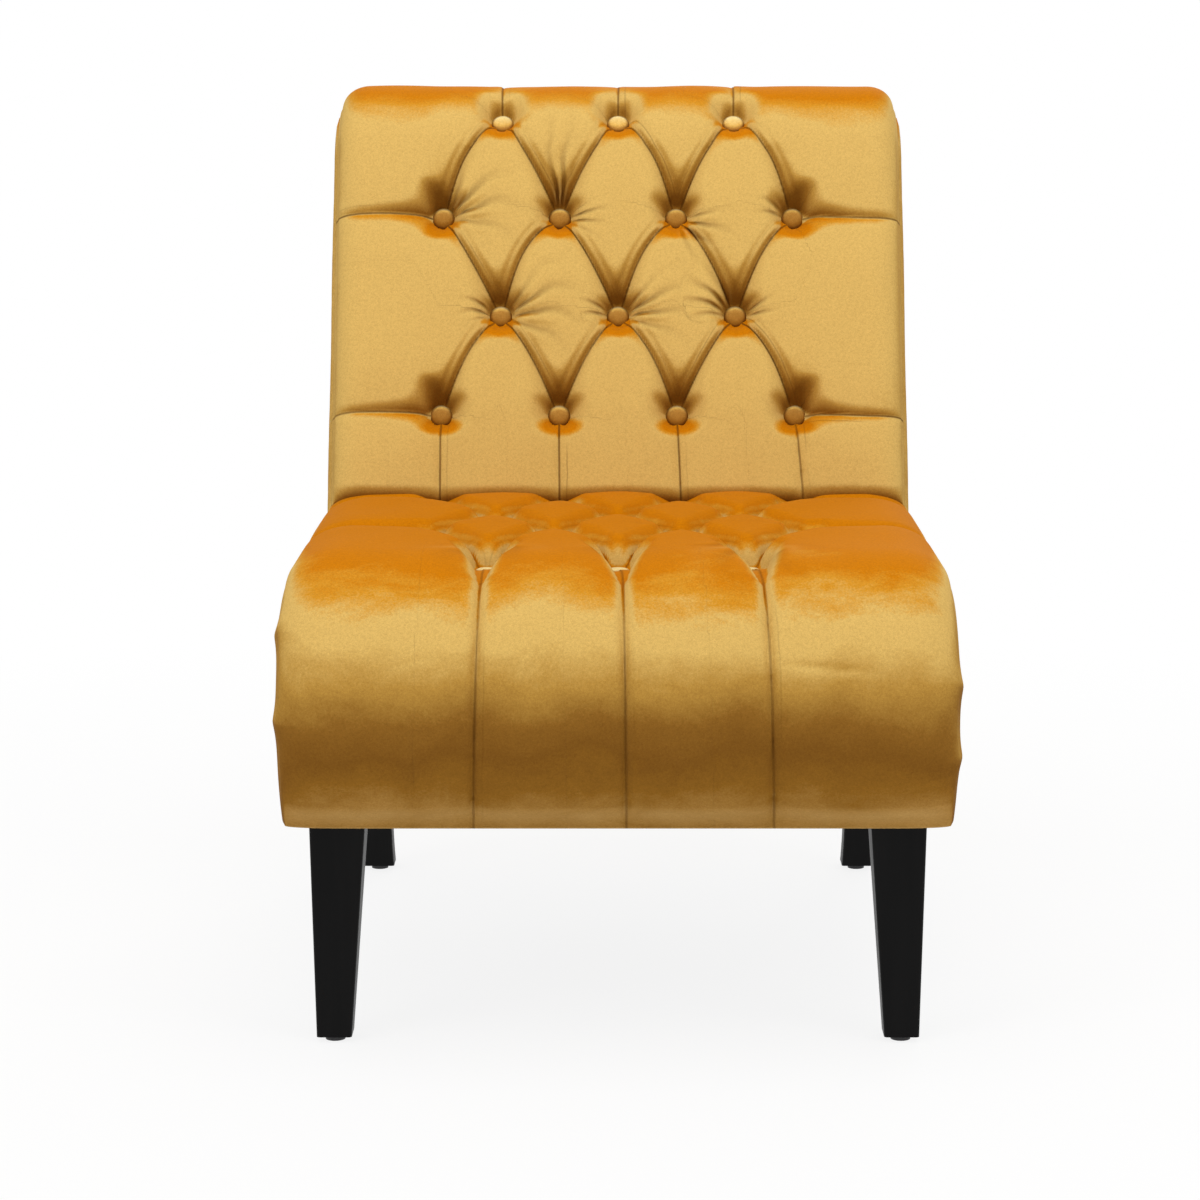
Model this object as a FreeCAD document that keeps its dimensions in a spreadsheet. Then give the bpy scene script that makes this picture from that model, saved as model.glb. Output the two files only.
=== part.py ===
import FreeCAD, Part
import Sketcher
import math
import os

# Armless slipper chair: tufted seat and rolled back on a wooden frame with four legs.
# Millimetres, +Z up, +X to the right of someone who looks at the front, -Y towards the front.
# The origin is on the floor in the middle of the overall box.

QUARTER = 90
TOUCHING = 0.001
STRAIGHT_WITHIN = 0.05

doc = FreeCAD.newDocument("SlipperChair")
sheet = doc.addObject("Spreadsheet::Sheet", "Sizes")

SIZES = [
    ("leg_height", 190, "floor to the underside of the frame"),
    ("seat_level", 386, "floor to the seat's buttons"),
    ("front_reach", 357, "origin forward to the seat front between the puffs"),
    ("roll_radius", 96, "waterfall roll along the seat's front edge"),
    ("front_tuck", 34, "how far the seat front draws back below the roll"),
    ("seat_rear", 121, "origin back to the rear end of the seat pad"),
    ("back_start_y", 126.7, "origin back to the lower end of the back's face"),
    ("back_start_z", 412, "floor to the lower end of the back's face"),
    ("recline_degrees", 21.5, "lean of the back from upright"),
    ("back_straight", 349, "straight run of the back below its roll"),
    ("top_radius", 80, "front half of the rolled top"),
    ("scroll_radius", 45, "rear half of the rolled top"),
    ("scroll_degrees", 125, "turn of the rear half of the roll"),
    ("frame_half", 270, "centre to the outer face of a side frame"),
    ("back_inset", 6, "outer face of a side cover in to the side edge of the back cover"),
    ("side_drop", 18, "how far the front covers turn down the sides"),
    ("side_bulge", 3, "how far those turned sides swell"),
    ("seam", 1, "front covers' turned edges to the side covers"),
    ("button_pitch", 114, "button to button across"),
    ("back_row_step", 100, "button row to button row on the back"),
    ("seat_row_step", 95, "button row to button row on the seat"),
    ("first_back_row", 78, "lower end of the back's face to its lowest row"),
    ("first_seat_row", 66, "end of the front roll to the first seat row"),
    ("pocket", 26, "width of the pulled-in place round a button"),
    ("puff", 32, "height of a full puff above the buttons"),
    ("pleat", 10, "width of a pleat's floor"),
    ("pleat_flare_share", 0.09, "how much further apart the front pleats are at the lower edge"),
    ("front_pleat", 4, "depth of a front pleat at the lower edge"),
    ("pleat_run", 85, "how far from its button a front pleat stays deep"),
    ("front_section_count", 12, "cross-sections down the seat front"),
    ("scroll_section_count", 6, "cross-sections round the rear of the roll"),
    ("back_puff", 28, "height of a full puff of the back above its buttons"),
    ("top_puff", 12, "puff height on the rolled top"),
    ("top_pleat", 3, "depth of a pleat on the rolled top"),
    ("top_corner", 8, "how far the ends of the rolled top are rounded down"),
    ("cloth", 2, "velvet with its lining"),
    ("ease", 0.3, "gap between a cover and what it covers"),
    ("foam_bottom", 76, "seat buttons down to the underside of the foam"),
    ("front_foam", 18, "foam depth at the lower edge of the seat front"),
    ("back_foam", 55, "back buttons in to the rear of the foam"),
    ("scroll_foam", 20, "foam depth at the rear end of the roll"),
    ("washer_radius", 10, "tufting washer"),
    ("washer_thick", 2, "tufting washer"),
    ("burlap", 1.5, "burlap sheet"),
    ("burlap_inset", 12, "front rail's face back to the seat burlap's front edge"),
    ("web", 2.5, "webbing strap thickness"),
    ("web_width", 50, "webbing strap width"),
    ("seat_web_step", 100, "strap to strap on the seat"),
    ("back_web_step", 80, "strap to strap across the back"),
    ("web_end", 4, "strap end to the outer edge of the wood that it is fixed to"),
    ("ply", 18, "side frame thickness"),
    ("side_pad", 8, "side padding thickness"),
    ("rail", 28, "rail thickness"),
    ("rail_set_back", 60, "seat front in to the front rail"),
    ("back_rail_height", 60, "height of a back rail along the back"),
    ("back_depth", 100, "back buttons in to the outside back"),
    ("rear_reach", 254, "origin back to the outside back at the seat"),
    ("rear_bend_radius", 140, "hollow bend of the outside back"),
    ("tuck_under", 16, "how far the outside back runs up under the roll"),
    ("back_pad", 4, "outside back padding"),
    ("tack_width", 12, "tack strip along the outside back's upper edge"),
    ("roll_rail_radius", 15, "round rail inside the rolled top"),
    ("roll_rail_rise", 20, "round rail's middle above the middle of the roll's front half"),
    ("button_radius", 11.2, "covered button"),
    ("button_rim", 2, "straight rim of a button"),
    ("button_dome", 5.5, "whole height of a button"),
    ("twine", 1, "radius of the tufting twine"),
    ("twine_hole", 1.6, "radius of the stitched hole round a twine"),
    ("welt", 2, "radius of the welt cord"),
    ("front_leg_top", 47, "width of a front leg under the frame"),
    ("front_leg_foot", 30, "width of a front leg at its foot"),
    ("front_leg_y", 300, "origin forward to the middle of a front leg"),
    ("leg_inset", 10, "outer face of a side frame in to the outer face of a leg under it"),
    ("front_foot_inset", 13, "outer face of a side frame in to the outer side of a front foot"),
    ("rear_waist_inset", 11.5, "outer face of a side frame in to a rear leg's waist"),
    ("rear_foot_inset", 8, "outer face of a side frame in to the outer side of a rear foot"),
    ("rear_leg_top", 42, "width of a rear leg under the frame"),
    ("rear_leg_waist", 27, "width of a rear leg at its narrowest"),
    ("rear_leg_foot", 31, "width of a rear leg at its foot"),
    ("rear_waist_level", 70, "floor to the narrowest place of a rear leg"),
    ("rear_leg_y", 225, "origin back to the middle of a rear leg's top"),
    ("rear_waist_y", 276, "origin back to the middle of a rear leg's waist"),
    ("rear_foot_y", 300, "origin back to the middle of a rear foot"),
    ("leg_edge", 3, "rounding of the legs' long edges"),
    ("glide_radius", 8.5, "glide"),
    ("glide_height", 5, "glide"),
    ("nail_radius", 1.5, "glide nail"),
    ("nail_length", 16, "glide nail"),
    ("block", 60, "side of a corner block"),
    ("block_height", 34, "corner block"),
    ("bolt_radius", 4, "leg bolt"),
    ("bolt_grip", 45, "length of a leg bolt in its leg"),
    ("front_bolt_y", 286, "origin forward to a front leg bolt"),
    ("rear_bolt_y", 236, "origin back to a rear leg bolt"),
    ("dust_cover", 1, "dust cover thickness"),
    ("leg_gap", 1, "gap in the dust cover round a leg"),
    ("screw_radius", 2, "frame screw"),
    ("screw_length", 45, "frame screw"),
]

for row, (alias, value, note) in enumerate(SIZES, start=1):
    sheet.set(f"A{row}", alias)
    sheet.set(f"B{row}", str(value))
    sheet.set(f"C{row}", note)
    sheet.setAlias(f"B{row}", alias)
doc.recompute()


def size(alias):
    """The number in a named cell."""
    return float(sheet.get(alias))


class Route:
    """A side-view line of straight runs and tangent arcs, walked by its length from its start.

    A heading is the angle from +Y towards +Z, in degrees. The outward side is to the left.
    """

    def __init__(self, y, z, heading):
        self.y = y
        self.z = z
        self.heading = heading
        self.runs = []

    def straight(self, length):
        self.runs.append(("straight", self.y, self.z, self.heading, length, 0.0))
        self.y += length * math.cos(math.radians(self.heading))
        self.z += length * math.sin(math.radians(self.heading))
        return self

    def bend(self, radius, turn):
        """Turns right by a positive angle, left by a negative one."""
        length = math.radians(abs(turn)) * radius
        self.runs.append(("bend", self.y, self.z, self.heading, length, math.copysign(radius, turn)))
        self.y, self.z, self.heading = self.along(self.runs[-1], length)
        return self

    @staticmethod
    def along(run, distance):
        kind, y, z, heading, length, radius = run
        angle = math.radians(heading)
        if kind == "straight":
            return y + distance * math.cos(angle), z + distance * math.sin(angle), heading
        turned = angle - distance / radius
        centre_y = y + radius * math.sin(angle)
        centre_z = z - radius * math.cos(angle)
        return (
            centre_y - radius * math.sin(turned),
            centre_z + radius * math.cos(turned),
            math.degrees(turned),
        )

    def length(self):
        return sum(run[4] for run in self.runs)

    def place(self, distance):
        """The point and the heading at a distance from the start."""
        for run in self.runs:
            if distance <= run[4]:
                return self.along(run, distance)
            distance -= run[4]
        return self.along(self.runs[-1], self.runs[-1][4] + distance)

    def point(self, distance, depth=0.0, x=0.0):
        """A point of the line, moved inwards by a depth."""
        y, z, heading = self.place(distance)
        angle = math.radians(heading)
        return FreeCAD.Vector(x, y + depth * math.sin(angle), z - depth * math.cos(angle))

    def edges(self, depth, x, start=0.0, end=None):
        """The line as edges at an even depth, from one distance to another."""
        end = self.length() if end is None else end
        made = []
        begun = 0.0
        for run in self.runs:
            first = max(start, begun)
            last = min(end, begun + run[4])
            if last - first > TOUCHING:
                a = self.point(first, depth, x)
                b = self.point(last, depth, x)
                if run[0] == "straight":
                    made.append(Part.LineSegment(a, b).toShape())
                else:
                    made.append(Part.Arc(a, self.point((first + last) / 2, depth, x), b).toShape())
            begun += run[4]
        return made


def seat_route():
    """From the lower edge of the seat front, up and over the roll, back to the pad's rear end."""
    drop = size("seat_level") - size("roll_radius") - size("leg_height") - size("cloth")
    tuck = size("front_tuck")
    radius = (tuck * tuck + drop * drop) / (2 * tuck)
    turn = math.degrees(math.asin(drop / radius))
    route = Route(-size("front_reach") + tuck, size("leg_height") + size("cloth"), QUARTER + turn)
    route.bend(radius, turn)
    route.bend(size("roll_radius"), QUARTER)
    flat = size("seat_rear") + size("front_reach") - size("roll_radius")
    return route.straight(flat)


def back_route():
    """From the seat up the back's face, over the top and down behind the roll."""
    route = Route(size("back_start_y"), size("back_start_z"), QUARTER - size("recline_degrees"))
    route.straight(size("back_straight"))
    route.bend(size("top_radius"), QUARTER - size("recline_degrees"))
    return route.bend(size("scroll_radius"), size("scroll_degrees"))


def outside_route():
    """The outside back, from under the roll down to the frame's lower edge."""
    lean = math.radians(size("recline_degrees"))
    reach = size("back_straight") + size("tuck_under")
    depth = size("back_depth")
    top_y = size("back_start_y") + reach * math.sin(lean) + depth * math.cos(lean)
    top_z = size("back_start_z") + reach * math.cos(lean) - depth * math.sin(lean)
    bend = size("rear_bend_radius")
    tangent = bend * math.tan(lean / 2)
    corner_z = top_z - (top_y - size("rear_reach")) / math.tan(lean)
    route = Route(top_y, top_z, -QUARTER - size("recline_degrees"))
    route.straight((top_z - corner_z) / math.cos(lean) - tangent)
    route.bend(bend, -size("recline_degrees"))
    return route.straight(corner_z - tangent - size("leg_height"))


SEAT = seat_route()
BACK = back_route()
OUTSIDE = outside_route()
FRONT_FACE = SEAT.runs[0][4]
ROLL_END = FRONT_FACE + SEAT.runs[1][4]

parts = []


def keep(shape_object, name):
    """Names a finished sub-part."""
    shape_object.Label = name
    parts.append(shape_object)
    return shape_object


def shaped(name, shape):
    """A sub-part whose form follows the side-view lines."""
    made = doc.addObject("Part::Feature", name)
    made.Shape = shape
    made.Placement = FreeCAD.Placement()
    return keep(made, name)


def bind(made, **expressions):
    """Ties an object's sizes and place to the sheet."""
    for path, expression in expressions.items():
        made.setExpression(path.replace("_", "."), expression)
    return made


def box(name, length, width, height, x, y, z):
    made = doc.addObject("Part::Box", name)
    bind(made, Length=length, Width=width, Height=height)
    return bind(made, Placement_Base_x=x, Placement_Base_y=y, Placement_Base_z=z)


def rod(name, radius, height, x, y, z):
    made = doc.addObject("Part::Cylinder", name)
    bind(made, Radius=radius, Height=height)
    return bind(made, Placement_Base_x=x, Placement_Base_y=y, Placement_Base_z=z)


def group(name, members):
    """Several like pieces that share one node."""
    made = doc.addObject("Part::Compound", name)
    made.Links = members
    return keep(made, name)


def polyline(points):
    return [Part.LineSegment(a, b).toShape() for a, b in zip(points, points[1:])]


def both_sides(name, make):
    """A left and a right sub-part from one maker that is given the side, -1 or 1."""
    for side, word in ((-1, "left"), (1, "right")):
        shaped(f"{name}_{word}", make(side))


# Tufted pads

# Shares of a puff's height: the shoulders beside the outer pockets, a crease midway between its
# buttons, the side edges and the outer panels' middles, each beside a side pleat and between two.
SHOULDER = 0.93
CREASE = 0.45
EDGE_LOW = 0.10
EDGE_HIGH = 0.22
PANEL_LOW = 0.62
PANEL_HIGH = 0.88
SWELL_POWER = 0.7


class Section:
    """One cross-section of a tufted pad, square to its side-view line.

    Across the pad, nine stretches lie side by side. The four that hold the buttons of a row of
    four are as wide as a pocket where shift is 0 and open out to puffs where it is 1, while the
    three between them close to the pockets of a row of three.
    """

    def __init__(
        self, distance, shift, puff, floor=0.0, gap=None, side=None, spread=1.0, rounded=0.0
    ):
        self.distance = distance
        self.shift = shift
        self.puff = puff
        self.floor = floor
        self.gap = size("pocket") if gap is None else gap
        self.side = shift if side is None else side
        self.pitch = size("button_pitch") * spread
        self.rounded = rounded

    @staticmethod
    def swell(share):
        return math.sin(math.pi / 2 * share) ** SWELL_POWER

    def outline(self, half):
        """Corner places and levels, and the level in the middle of each stretch."""
        rise = self.puff - self.floor
        crease = self.floor + rise * CREASE * math.sin(math.pi * self.shift)
        four = self.gap + (self.pitch - 2 * self.gap) * self.shift
        places = [-half]
        for button in (-1.5, -0.5, 0.5, 1.5):
            places.append(button * self.pitch - four / 2)
            places.append(button * self.pitch + four / 2)
        places.append(half)
        shoulder = self.floor + rise * SHOULDER * self.swell(self.shift)
        edge = self.puff * (EDGE_LOW + (EDGE_HIGH - EDGE_LOW) * self.side) - self.rounded
        levels = [edge, shoulder] + [crease] * 6 + [shoulder, edge]
        high = self.floor + rise * self.swell(self.shift)
        low = self.floor + rise * self.swell(1 - self.shift)
        outer = self.floor + rise * (PANEL_LOW + (PANEL_HIGH - PANEL_LOW) * self.swell(self.side))
        middles = [outer, high, low, high, low, high, low, high, outer]
        return places, levels, middles


def stretch(start, middle, end):
    """An arc through three points, or a line where they are in one."""
    if abs(middle.distanceToLine(start, end - start)) < STRAIGHT_WITHIN:
        return Part.LineSegment(start, end).toShape()
    return Part.Arc(start, middle, end).toShape()


def top_edges(route, section, half, lower):
    """The nine top stretches from left to right, lowered by a cover's thickness."""
    places, levels, middles = section.outline(half)
    made = []
    for k in range(len(middles)):
        start = route.point(section.distance, lower - levels[k], places[k])
        end = route.point(section.distance, lower - levels[k + 1], places[k + 1])
        middle_x = (places[k] + places[k + 1]) / 2
        middle = route.point(section.distance, lower - middles[k], middle_x)
        made.append(stretch(start, middle, end))
    return made, levels[0]


def cover_wire(route, section, half):
    """A cover's cross-section: the top, the two turned-down sides and its thickness."""
    cloth = size("cloth")
    drop = size("side_drop")
    bulge = size("side_bulge")
    outer, edge = top_edges(route, section, half, 0)
    inner, _ = top_edges(route, section, half - cloth, cloth)

    def side(sign, inset, lower):
        reach = half - inset
        top = route.point(section.distance, lower - edge, sign * reach)
        waist = route.point(section.distance, (drop + lower - edge) / 2, sign * (reach + bulge))
        foot = route.point(section.distance, drop, sign * reach)
        return Part.Arc(top, waist, foot).toShape(), foot

    right_out, right_foot = side(1, 0, 0)
    right_in, right_turn = side(1, cloth, cloth)
    left_out, left_foot = side(-1, 0, 0)
    left_in, left_turn = side(-1, cloth, cloth)
    around = outer + [right_out, Part.LineSegment(right_foot, right_turn).toShape(), right_in]
    around += list(reversed(inner))
    around += [left_in, Part.LineSegment(left_turn, left_foot).toShape(), left_out]
    return Part.Wire(around)


def foam_wire(route, section, half, depth):
    """A pad's cross-section: the top, two straight sides and the flat underside."""
    under = size("cloth") + size("ease")
    reach = half - under
    top, edge = top_edges(route, section, reach, under)
    right_top = route.point(section.distance, under - edge, reach)
    right_foot = route.point(section.distance, depth, reach)
    left_foot = route.point(section.distance, depth, -reach)
    left_top = route.point(section.distance, under - edge, -reach)
    corners = [right_top, right_foot, left_foot, left_top]
    return Part.Wire(top + polyline(corners))


SIDE_FACE = size("frame_half") + size("side_pad")
SEAT_HALF = SIDE_FACE + size("cloth")
BACK_HALF = SEAT_HALF - size("back_inset")


def row_places(kind):
    """Where the buttons of a row of three or four stand across the pad."""
    pitch = size("button_pitch")
    return [(k - (kind - 1) / 2) * pitch for k in range(kind)]


SEAT_ROWS = [
    (letter, ROLL_END + size("first_seat_row") + k * size("seat_row_step"), kind)
    for k, (letter, kind) in enumerate((("e", 3), ("f", 4), ("g", 3), ("h", 4)))
]
BACK_ROWS = [
    (letter, size("first_back_row") + k * size("back_row_step"), kind)
    for k, (letter, kind) in enumerate((("d", 4), ("c", 3), ("b", 4), ("a", 3)))
]


def between_rows(rows, puff):
    """The sections at each row's pockets and two more between each pair of rows."""
    half_pocket = size("pocket") / 2
    made = []
    for (_, here, kind), (_, there, _) in zip(rows, rows[1:]):
        start = 1.0 if kind == 3 else 0.0
        turn = -1.0 if kind == 3 else 1.0
        made.append(Section(here - half_pocket, start, puff))
        made.append(Section(here + half_pocket, start, puff))
        free = there - here - 2 * half_pocket
        for share in (1 / 3, 2 / 3):
            place = here + half_pocket + free * share
            made.append(Section(place, start + turn * share, puff))
    _, last, kind = rows[-1]
    start = 1.0 if kind == 3 else 0.0
    made.append(Section(last - half_pocket, start, puff))
    made.append(Section(last + half_pocket, start, puff))
    return made


# Shares of a full puff: at the seat's lower front edge, by which share of the front the cloth is
# filled out, how round it gets there, at the seat's rear end, and at the back's lower end.
LOWER_EDGE = 0.15
FILLED_BY = 0.59
ROUNDING = 0.8
REAR_SWELL = 0.86
LOWER_BACK_SWELL = 0.8

# How a pocket closes to a pleat down the seat front, how the puffs fall to the rolled top and go
# on falling behind it, and where the cross-sections stand below and above the button rows.
CLOSING = 3
TOP_FALL = 1.5
SCROLL_FALL = 0.25
LOWER_BACK_SHARES = (0, 0.3, 0.6, 0.85)
LOWER_BACK_SIDE = 0.5
ROLLED_TOP_SHARES = (0.25, 0.5, 0.75, 1)

# How the foam grows from the seat's lower front edge and thins towards the end of the roll.
FOAM_GROWTH = 0.8
FOAM_THINNING = 1.2


def seat_sections():
    """Three pleats run down the front from the first row, four run on behind the last one."""
    puff = size("puff")
    pleat = size("pleat")
    first = SEAT_ROWS[0][1] - size("pocket") / 2
    count = round(size("front_section_count"))
    shallow = size("front_pleat")
    made = []
    for k in range(count):
        share = k / count
        filled = math.sin(math.pi / 2 * min(1, share / FILLED_BY)) ** ROUNDING
        swell = puff * (LOWER_EDGE + (1 - LOWER_EDGE) * filled)
        hold = math.exp(-(first * (1 - share)) / size("pleat_run"))
        floor = swell - min(swell, shallow + (puff - shallow) * hold)
        gap = pleat + (size("pocket") - pleat) * share ** CLOSING
        flare = 1 + size("pleat_flare_share") * (1 - share)
        made.append(Section(first * share, 1, swell, floor, gap, 1, flare))
    made += between_rows(SEAT_ROWS, puff)
    made.append(Section(SEAT.length(), 0, puff * REAR_SWELL, puff / 2, pleat))
    return made


def back_sections():
    """Four pleats run down from the lowest row, three run up over the rolled top."""
    puff = size("back_puff")
    pleat = size("pleat")
    top = size("top_puff")
    low = BACK_ROWS[0][1] - size("pocket") / 2
    high = BACK_ROWS[-1][1] + size("pocket") / 2
    apex = BACK.runs[0][4] + BACK.runs[1][4]
    made = []
    for share in LOWER_BACK_SHARES:
        swell = puff * (LOWER_BACK_SWELL + (1 - LOWER_BACK_SWELL) * share)
        floor = (swell - size("front_pleat")) * (1 - share * share)
        made.append(Section(low * share, 0, swell, floor, pleat, LOWER_BACK_SIDE))
    made += between_rows(BACK_ROWS, puff)
    corner = size("top_corner")
    for share in ROLLED_TOP_SHARES:
        swell = top + (puff - top) * (1 - share) ** TOP_FALL
        floor = (swell - size("top_pleat")) * share
        place = high + (apex - high) * share
        made.append(Section(place, 1, swell, floor, pleat, rounded=corner * share))
    count = round(size("scroll_section_count"))
    for k in range(1, count + 1):
        along = apex + BACK.runs[2][4] * k / count
        swell = top * (1 - SCROLL_FALL * k / count)
        floor = swell - size("top_pleat")
        made.append(Section(along, 1, swell, floor, pleat, rounded=corner))
    return made


def seat_foam_depth(distance):
    """Thin at the lower front edge, full on the seat."""
    share = min(1, distance / ROLL_END)
    thin = size("front_foam")
    return thin + (size("foam_bottom") - thin) * share ** FOAM_GROWTH


def back_foam_depth(distance):
    """Full on the face, thinner round the tight end of the roll."""
    face = BACK.runs[0][4]
    if distance <= face:
        return size("back_foam")
    share = (distance - face) / (BACK.length() - face)
    thin = size("scroll_foam")
    return thin + (size("back_foam") - thin) * (1 - share) ** FOAM_THINNING


def stitch_holes(route, rows):
    """The room of each button's twine, right through cover and foam."""
    holes = []
    reach = size("puff") + size("foam_bottom")
    for _, distance, kind in rows:
        inwards = route.point(distance, 1) - route.point(distance)
        for x in row_places(kind):
            start = route.point(distance, -size("puff"), x)
            holes.append(Part.makeCylinder(size("twine_hole"), reach, start, inwards))
    return holes


def washer_places(route, rows, foam_depth):
    """Discs behind the foam, one to a button; a round of the roll lets them into the foam."""
    washer = Part.makeCylinder(size("washer_radius"), size("washer_thick"))
    placed = []
    for _, distance, kind in rows:
        depth = foam_depth(distance) + size("ease") + size("washer_thick")
        for x in row_places(kind):
            placed.append(at_button(washer, route, distance, x, depth))
    return placed


def tufted(name, route, sections, rows, half, foam_depth):
    """A tufted cover and the foam under it."""
    cover = Part.makeLoft([cover_wire(route, s, half) for s in sections], True, True)
    wires = [foam_wire(route, s, half, foam_depth(s.distance)) for s in sections]
    foam = Part.makeLoft(wires, True, True)
    holes = stitch_holes(route, rows)
    shaped(f"{name}_cover", cover.cut(holes))
    shaped(f"{name}_foam", foam.cut(holes + washer_places(route, rows, foam_depth)))


def button():
    """A covered button with a round crown, standing on the floor of its pocket."""
    radius = size("button_radius")
    rim = size("button_rim")
    crown_height = size("button_dome") - rim
    ball = (radius * radius + crown_height * crown_height) / (2 * crown_height)
    half_way = math.asin(radius / ball) / 2
    middle = size("button_dome") - ball
    base = FreeCAD.Vector(0, 0, 0)
    edge = FreeCAD.Vector(radius, 0, 0)
    shoulder = FreeCAD.Vector(radius, 0, rim)
    crown = FreeCAD.Vector(0, 0, size("button_dome"))
    bow = FreeCAD.Vector(ball * math.sin(half_way), 0, middle + ball * math.cos(half_way))
    profile = polyline([crown, base, edge, shoulder])
    profile.append(Part.Arc(shoulder, bow, crown).toShape())
    return Part.Face(Part.Wire(profile)).revolve(base, FreeCAD.Vector(0, 0, 1), 360)


def at_button(shape, route, distance, x, depth):
    """A shape modelled about +Z, stood on the route with +Z outwards."""
    outwards = route.point(distance) - route.point(distance, 1)
    turn = FreeCAD.Rotation(FreeCAD.Vector(0, 0, 1), outwards)
    placed = shape.copy()
    placed.Placement = FreeCAD.Placement(route.point(distance, depth, x), turn)
    return placed


def tufting(name, route, rows, foam_depth):
    """Button rows, and the twines that pull them to washers behind the foam."""
    twines = []
    for letter, distance, kind in rows:
        buttons = []
        depth = foam_depth(distance) + size("ease")
        cord = Part.makeCylinder(size("twine"), depth)
        for x in row_places(kind):
            buttons.append(at_button(button(), route, distance, x, 0))
            twines.append(at_button(cord, route, distance, x, depth))
        shaped(f"{name}_buttons_row_{letter}", Part.makeCompound(buttons))
    shaped(f"{name}_twines", Part.makeCompound(twines))
    shaped(f"{name}_washers", Part.makeCompound(washer_places(route, rows, foam_depth)))


tufted("seat", SEAT, seat_sections(), SEAT_ROWS, SEAT_HALF, seat_foam_depth)
tufted("back", BACK, back_sections(), BACK_ROWS, BACK_HALF, back_foam_depth)
tufting("seat", SEAT, SEAT_ROWS, seat_foam_depth)
tufting("back", BACK, BACK_ROWS, back_foam_depth)


# Frame. Straps and burlap lie between the foam and the wood, so the wood stands below them.

SEAT_BURLAP_TOP = size("seat_level") - size("foam_bottom") - size("ease") - size("washer_thick")
SEAT_WEB_TOP = SEAT_BURLAP_TOP - size("burlap")
RAIL_TOP = SEAT_WEB_TOP - size("web")
SIDE_TOP = RAIL_TOP - size("web")
BACK_BURLAP = size("back_foam") + size("ease") + size("washer_thick")
BACK_WEB = BACK_BURLAP + size("burlap")
BACK_RAIL = BACK_WEB + size("web")
BACK_SIDE = BACK_RAIL + size("web")
FRAME_REAR = size("cloth") + size("back_pad")
FRAME_FRONT = size("rail_set_back") - size("front_reach")
ROLL_CENTRE = BACK.point(size("back_straight"), size("top_radius"))
ROLL_CENTRE.z += size("roll_rail_rise")
INNER = size("frame_half") - size("ply")


def join(edges):
    """Closes a chain of edges with straight lines where one doesn't start at the last one's end."""
    closed = []
    for edge, following in zip(edges, edges[1:] + edges[:1]):
        closed.append(edge)
        end = edge.lastVertex(True).Point
        start = following.firstVertex(True).Point
        if end.distanceToPoint(start) > TOUCHING:
            closed.append(Part.LineSegment(end, start).toShape())
    return closed


def across(edges, x_from, x_to):
    """The solid between two X places whose side view is inside the edges."""
    face = Part.Face(Part.Wire(join(edges)))
    return face.extrude(FreeCAD.Vector(x_to - x_from, 0, 0))


# How much of the roll rail's radius the side frame's nose covers, and how far its front is cut off.
NOSE = 0.7
NOSE_CUT = 0.7


def frame_outline(x):
    """A side frame's side view: the seat, the leaning back and the nose inside the rolled top."""
    slope = math.tan(math.radians(size("recline_degrees")))
    lower = BACK.point(0, BACK_SIDE, x)
    heel_y = lower.y - (lower.z - SIDE_TOP) * slope
    reach = size("roll_rail_radius") * NOSE
    base = size("leg_height")
    front = polyline([
        FreeCAD.Vector(x, FRAME_FRONT, base),
        FreeCAD.Vector(x, FRAME_FRONT, SIDE_TOP),
        FreeCAD.Vector(x, heel_y, SIDE_TOP),
        BACK.point(size("back_straight"), BACK_SIDE, x),
        FreeCAD.Vector(x, ROLL_CENTRE.y - reach, ROLL_CENTRE.z + reach * NOSE_CUT),
        FreeCAD.Vector(x, ROLL_CENTRE.y + reach, ROLL_CENTRE.z + reach),
    ])
    return front + OUTSIDE.edges(FRAME_REAR, x, size("tuck_under"))


def cover_outline(x):
    """A side cover's side view, just inside the turned-down edges of the front covers."""
    depth = size("side_drop") + size("seam")
    start = SEAT.point(0, depth, x)
    foot = FreeCAD.Vector(x, start.y, size("leg_height"))
    rise = [Part.LineSegment(foot, start).toShape()]
    return rise + SEAT.edges(depth, x) + BACK.edges(depth, x) + OUTSIDE.edges(0, x)


def band(route, outer, inner, start, end, half):
    """A sheet that follows a side-view line, from side to side."""
    there = route.edges(outer, -half, start, end)
    back = [edge for edge in reversed(route.edges(inner, -half, start, end))]
    turned = [edge.reversed() for edge in back]
    return across(there + turned, -half, half)


def leaning_box(name, length, width, height, distance, depth, x=0.0):
    """A straight piece that lies along the back's face; sizes are expressions on the sheet."""
    made = doc.addObject("Part::Box", name)
    bind(made, Length=length, Width=width, Height=height)
    doc.recompute()
    place = BACK.point(distance, depth, x - made.Length.Value / 2)
    lean = FreeCAD.Rotation(FreeCAD.Vector(1, 0, 0), -size("recline_degrees"))
    made.Placement = FreeCAD.Placement(place, lean)
    return made


def cut(name, base, tools):
    """A piece with the room for others taken out of it."""
    made = doc.addObject("Part::Cut", name)
    made.Base = base
    made.Tool = tools
    return keep(made, name)


def centred(expression):
    return f"-({expression}) / 2"


SEAT_WEB_Z = (
    "Sizes.seat_level - Sizes.foam_bottom - Sizes.ease - Sizes.washer_thick"
    " - Sizes.burlap - Sizes.web"
)
RAIL_LENGTH = "2 * (Sizes.frame_half - Sizes.ply)"
STRAP_LENGTH = "2 * (Sizes.frame_half - Sizes.web_end)"


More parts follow.
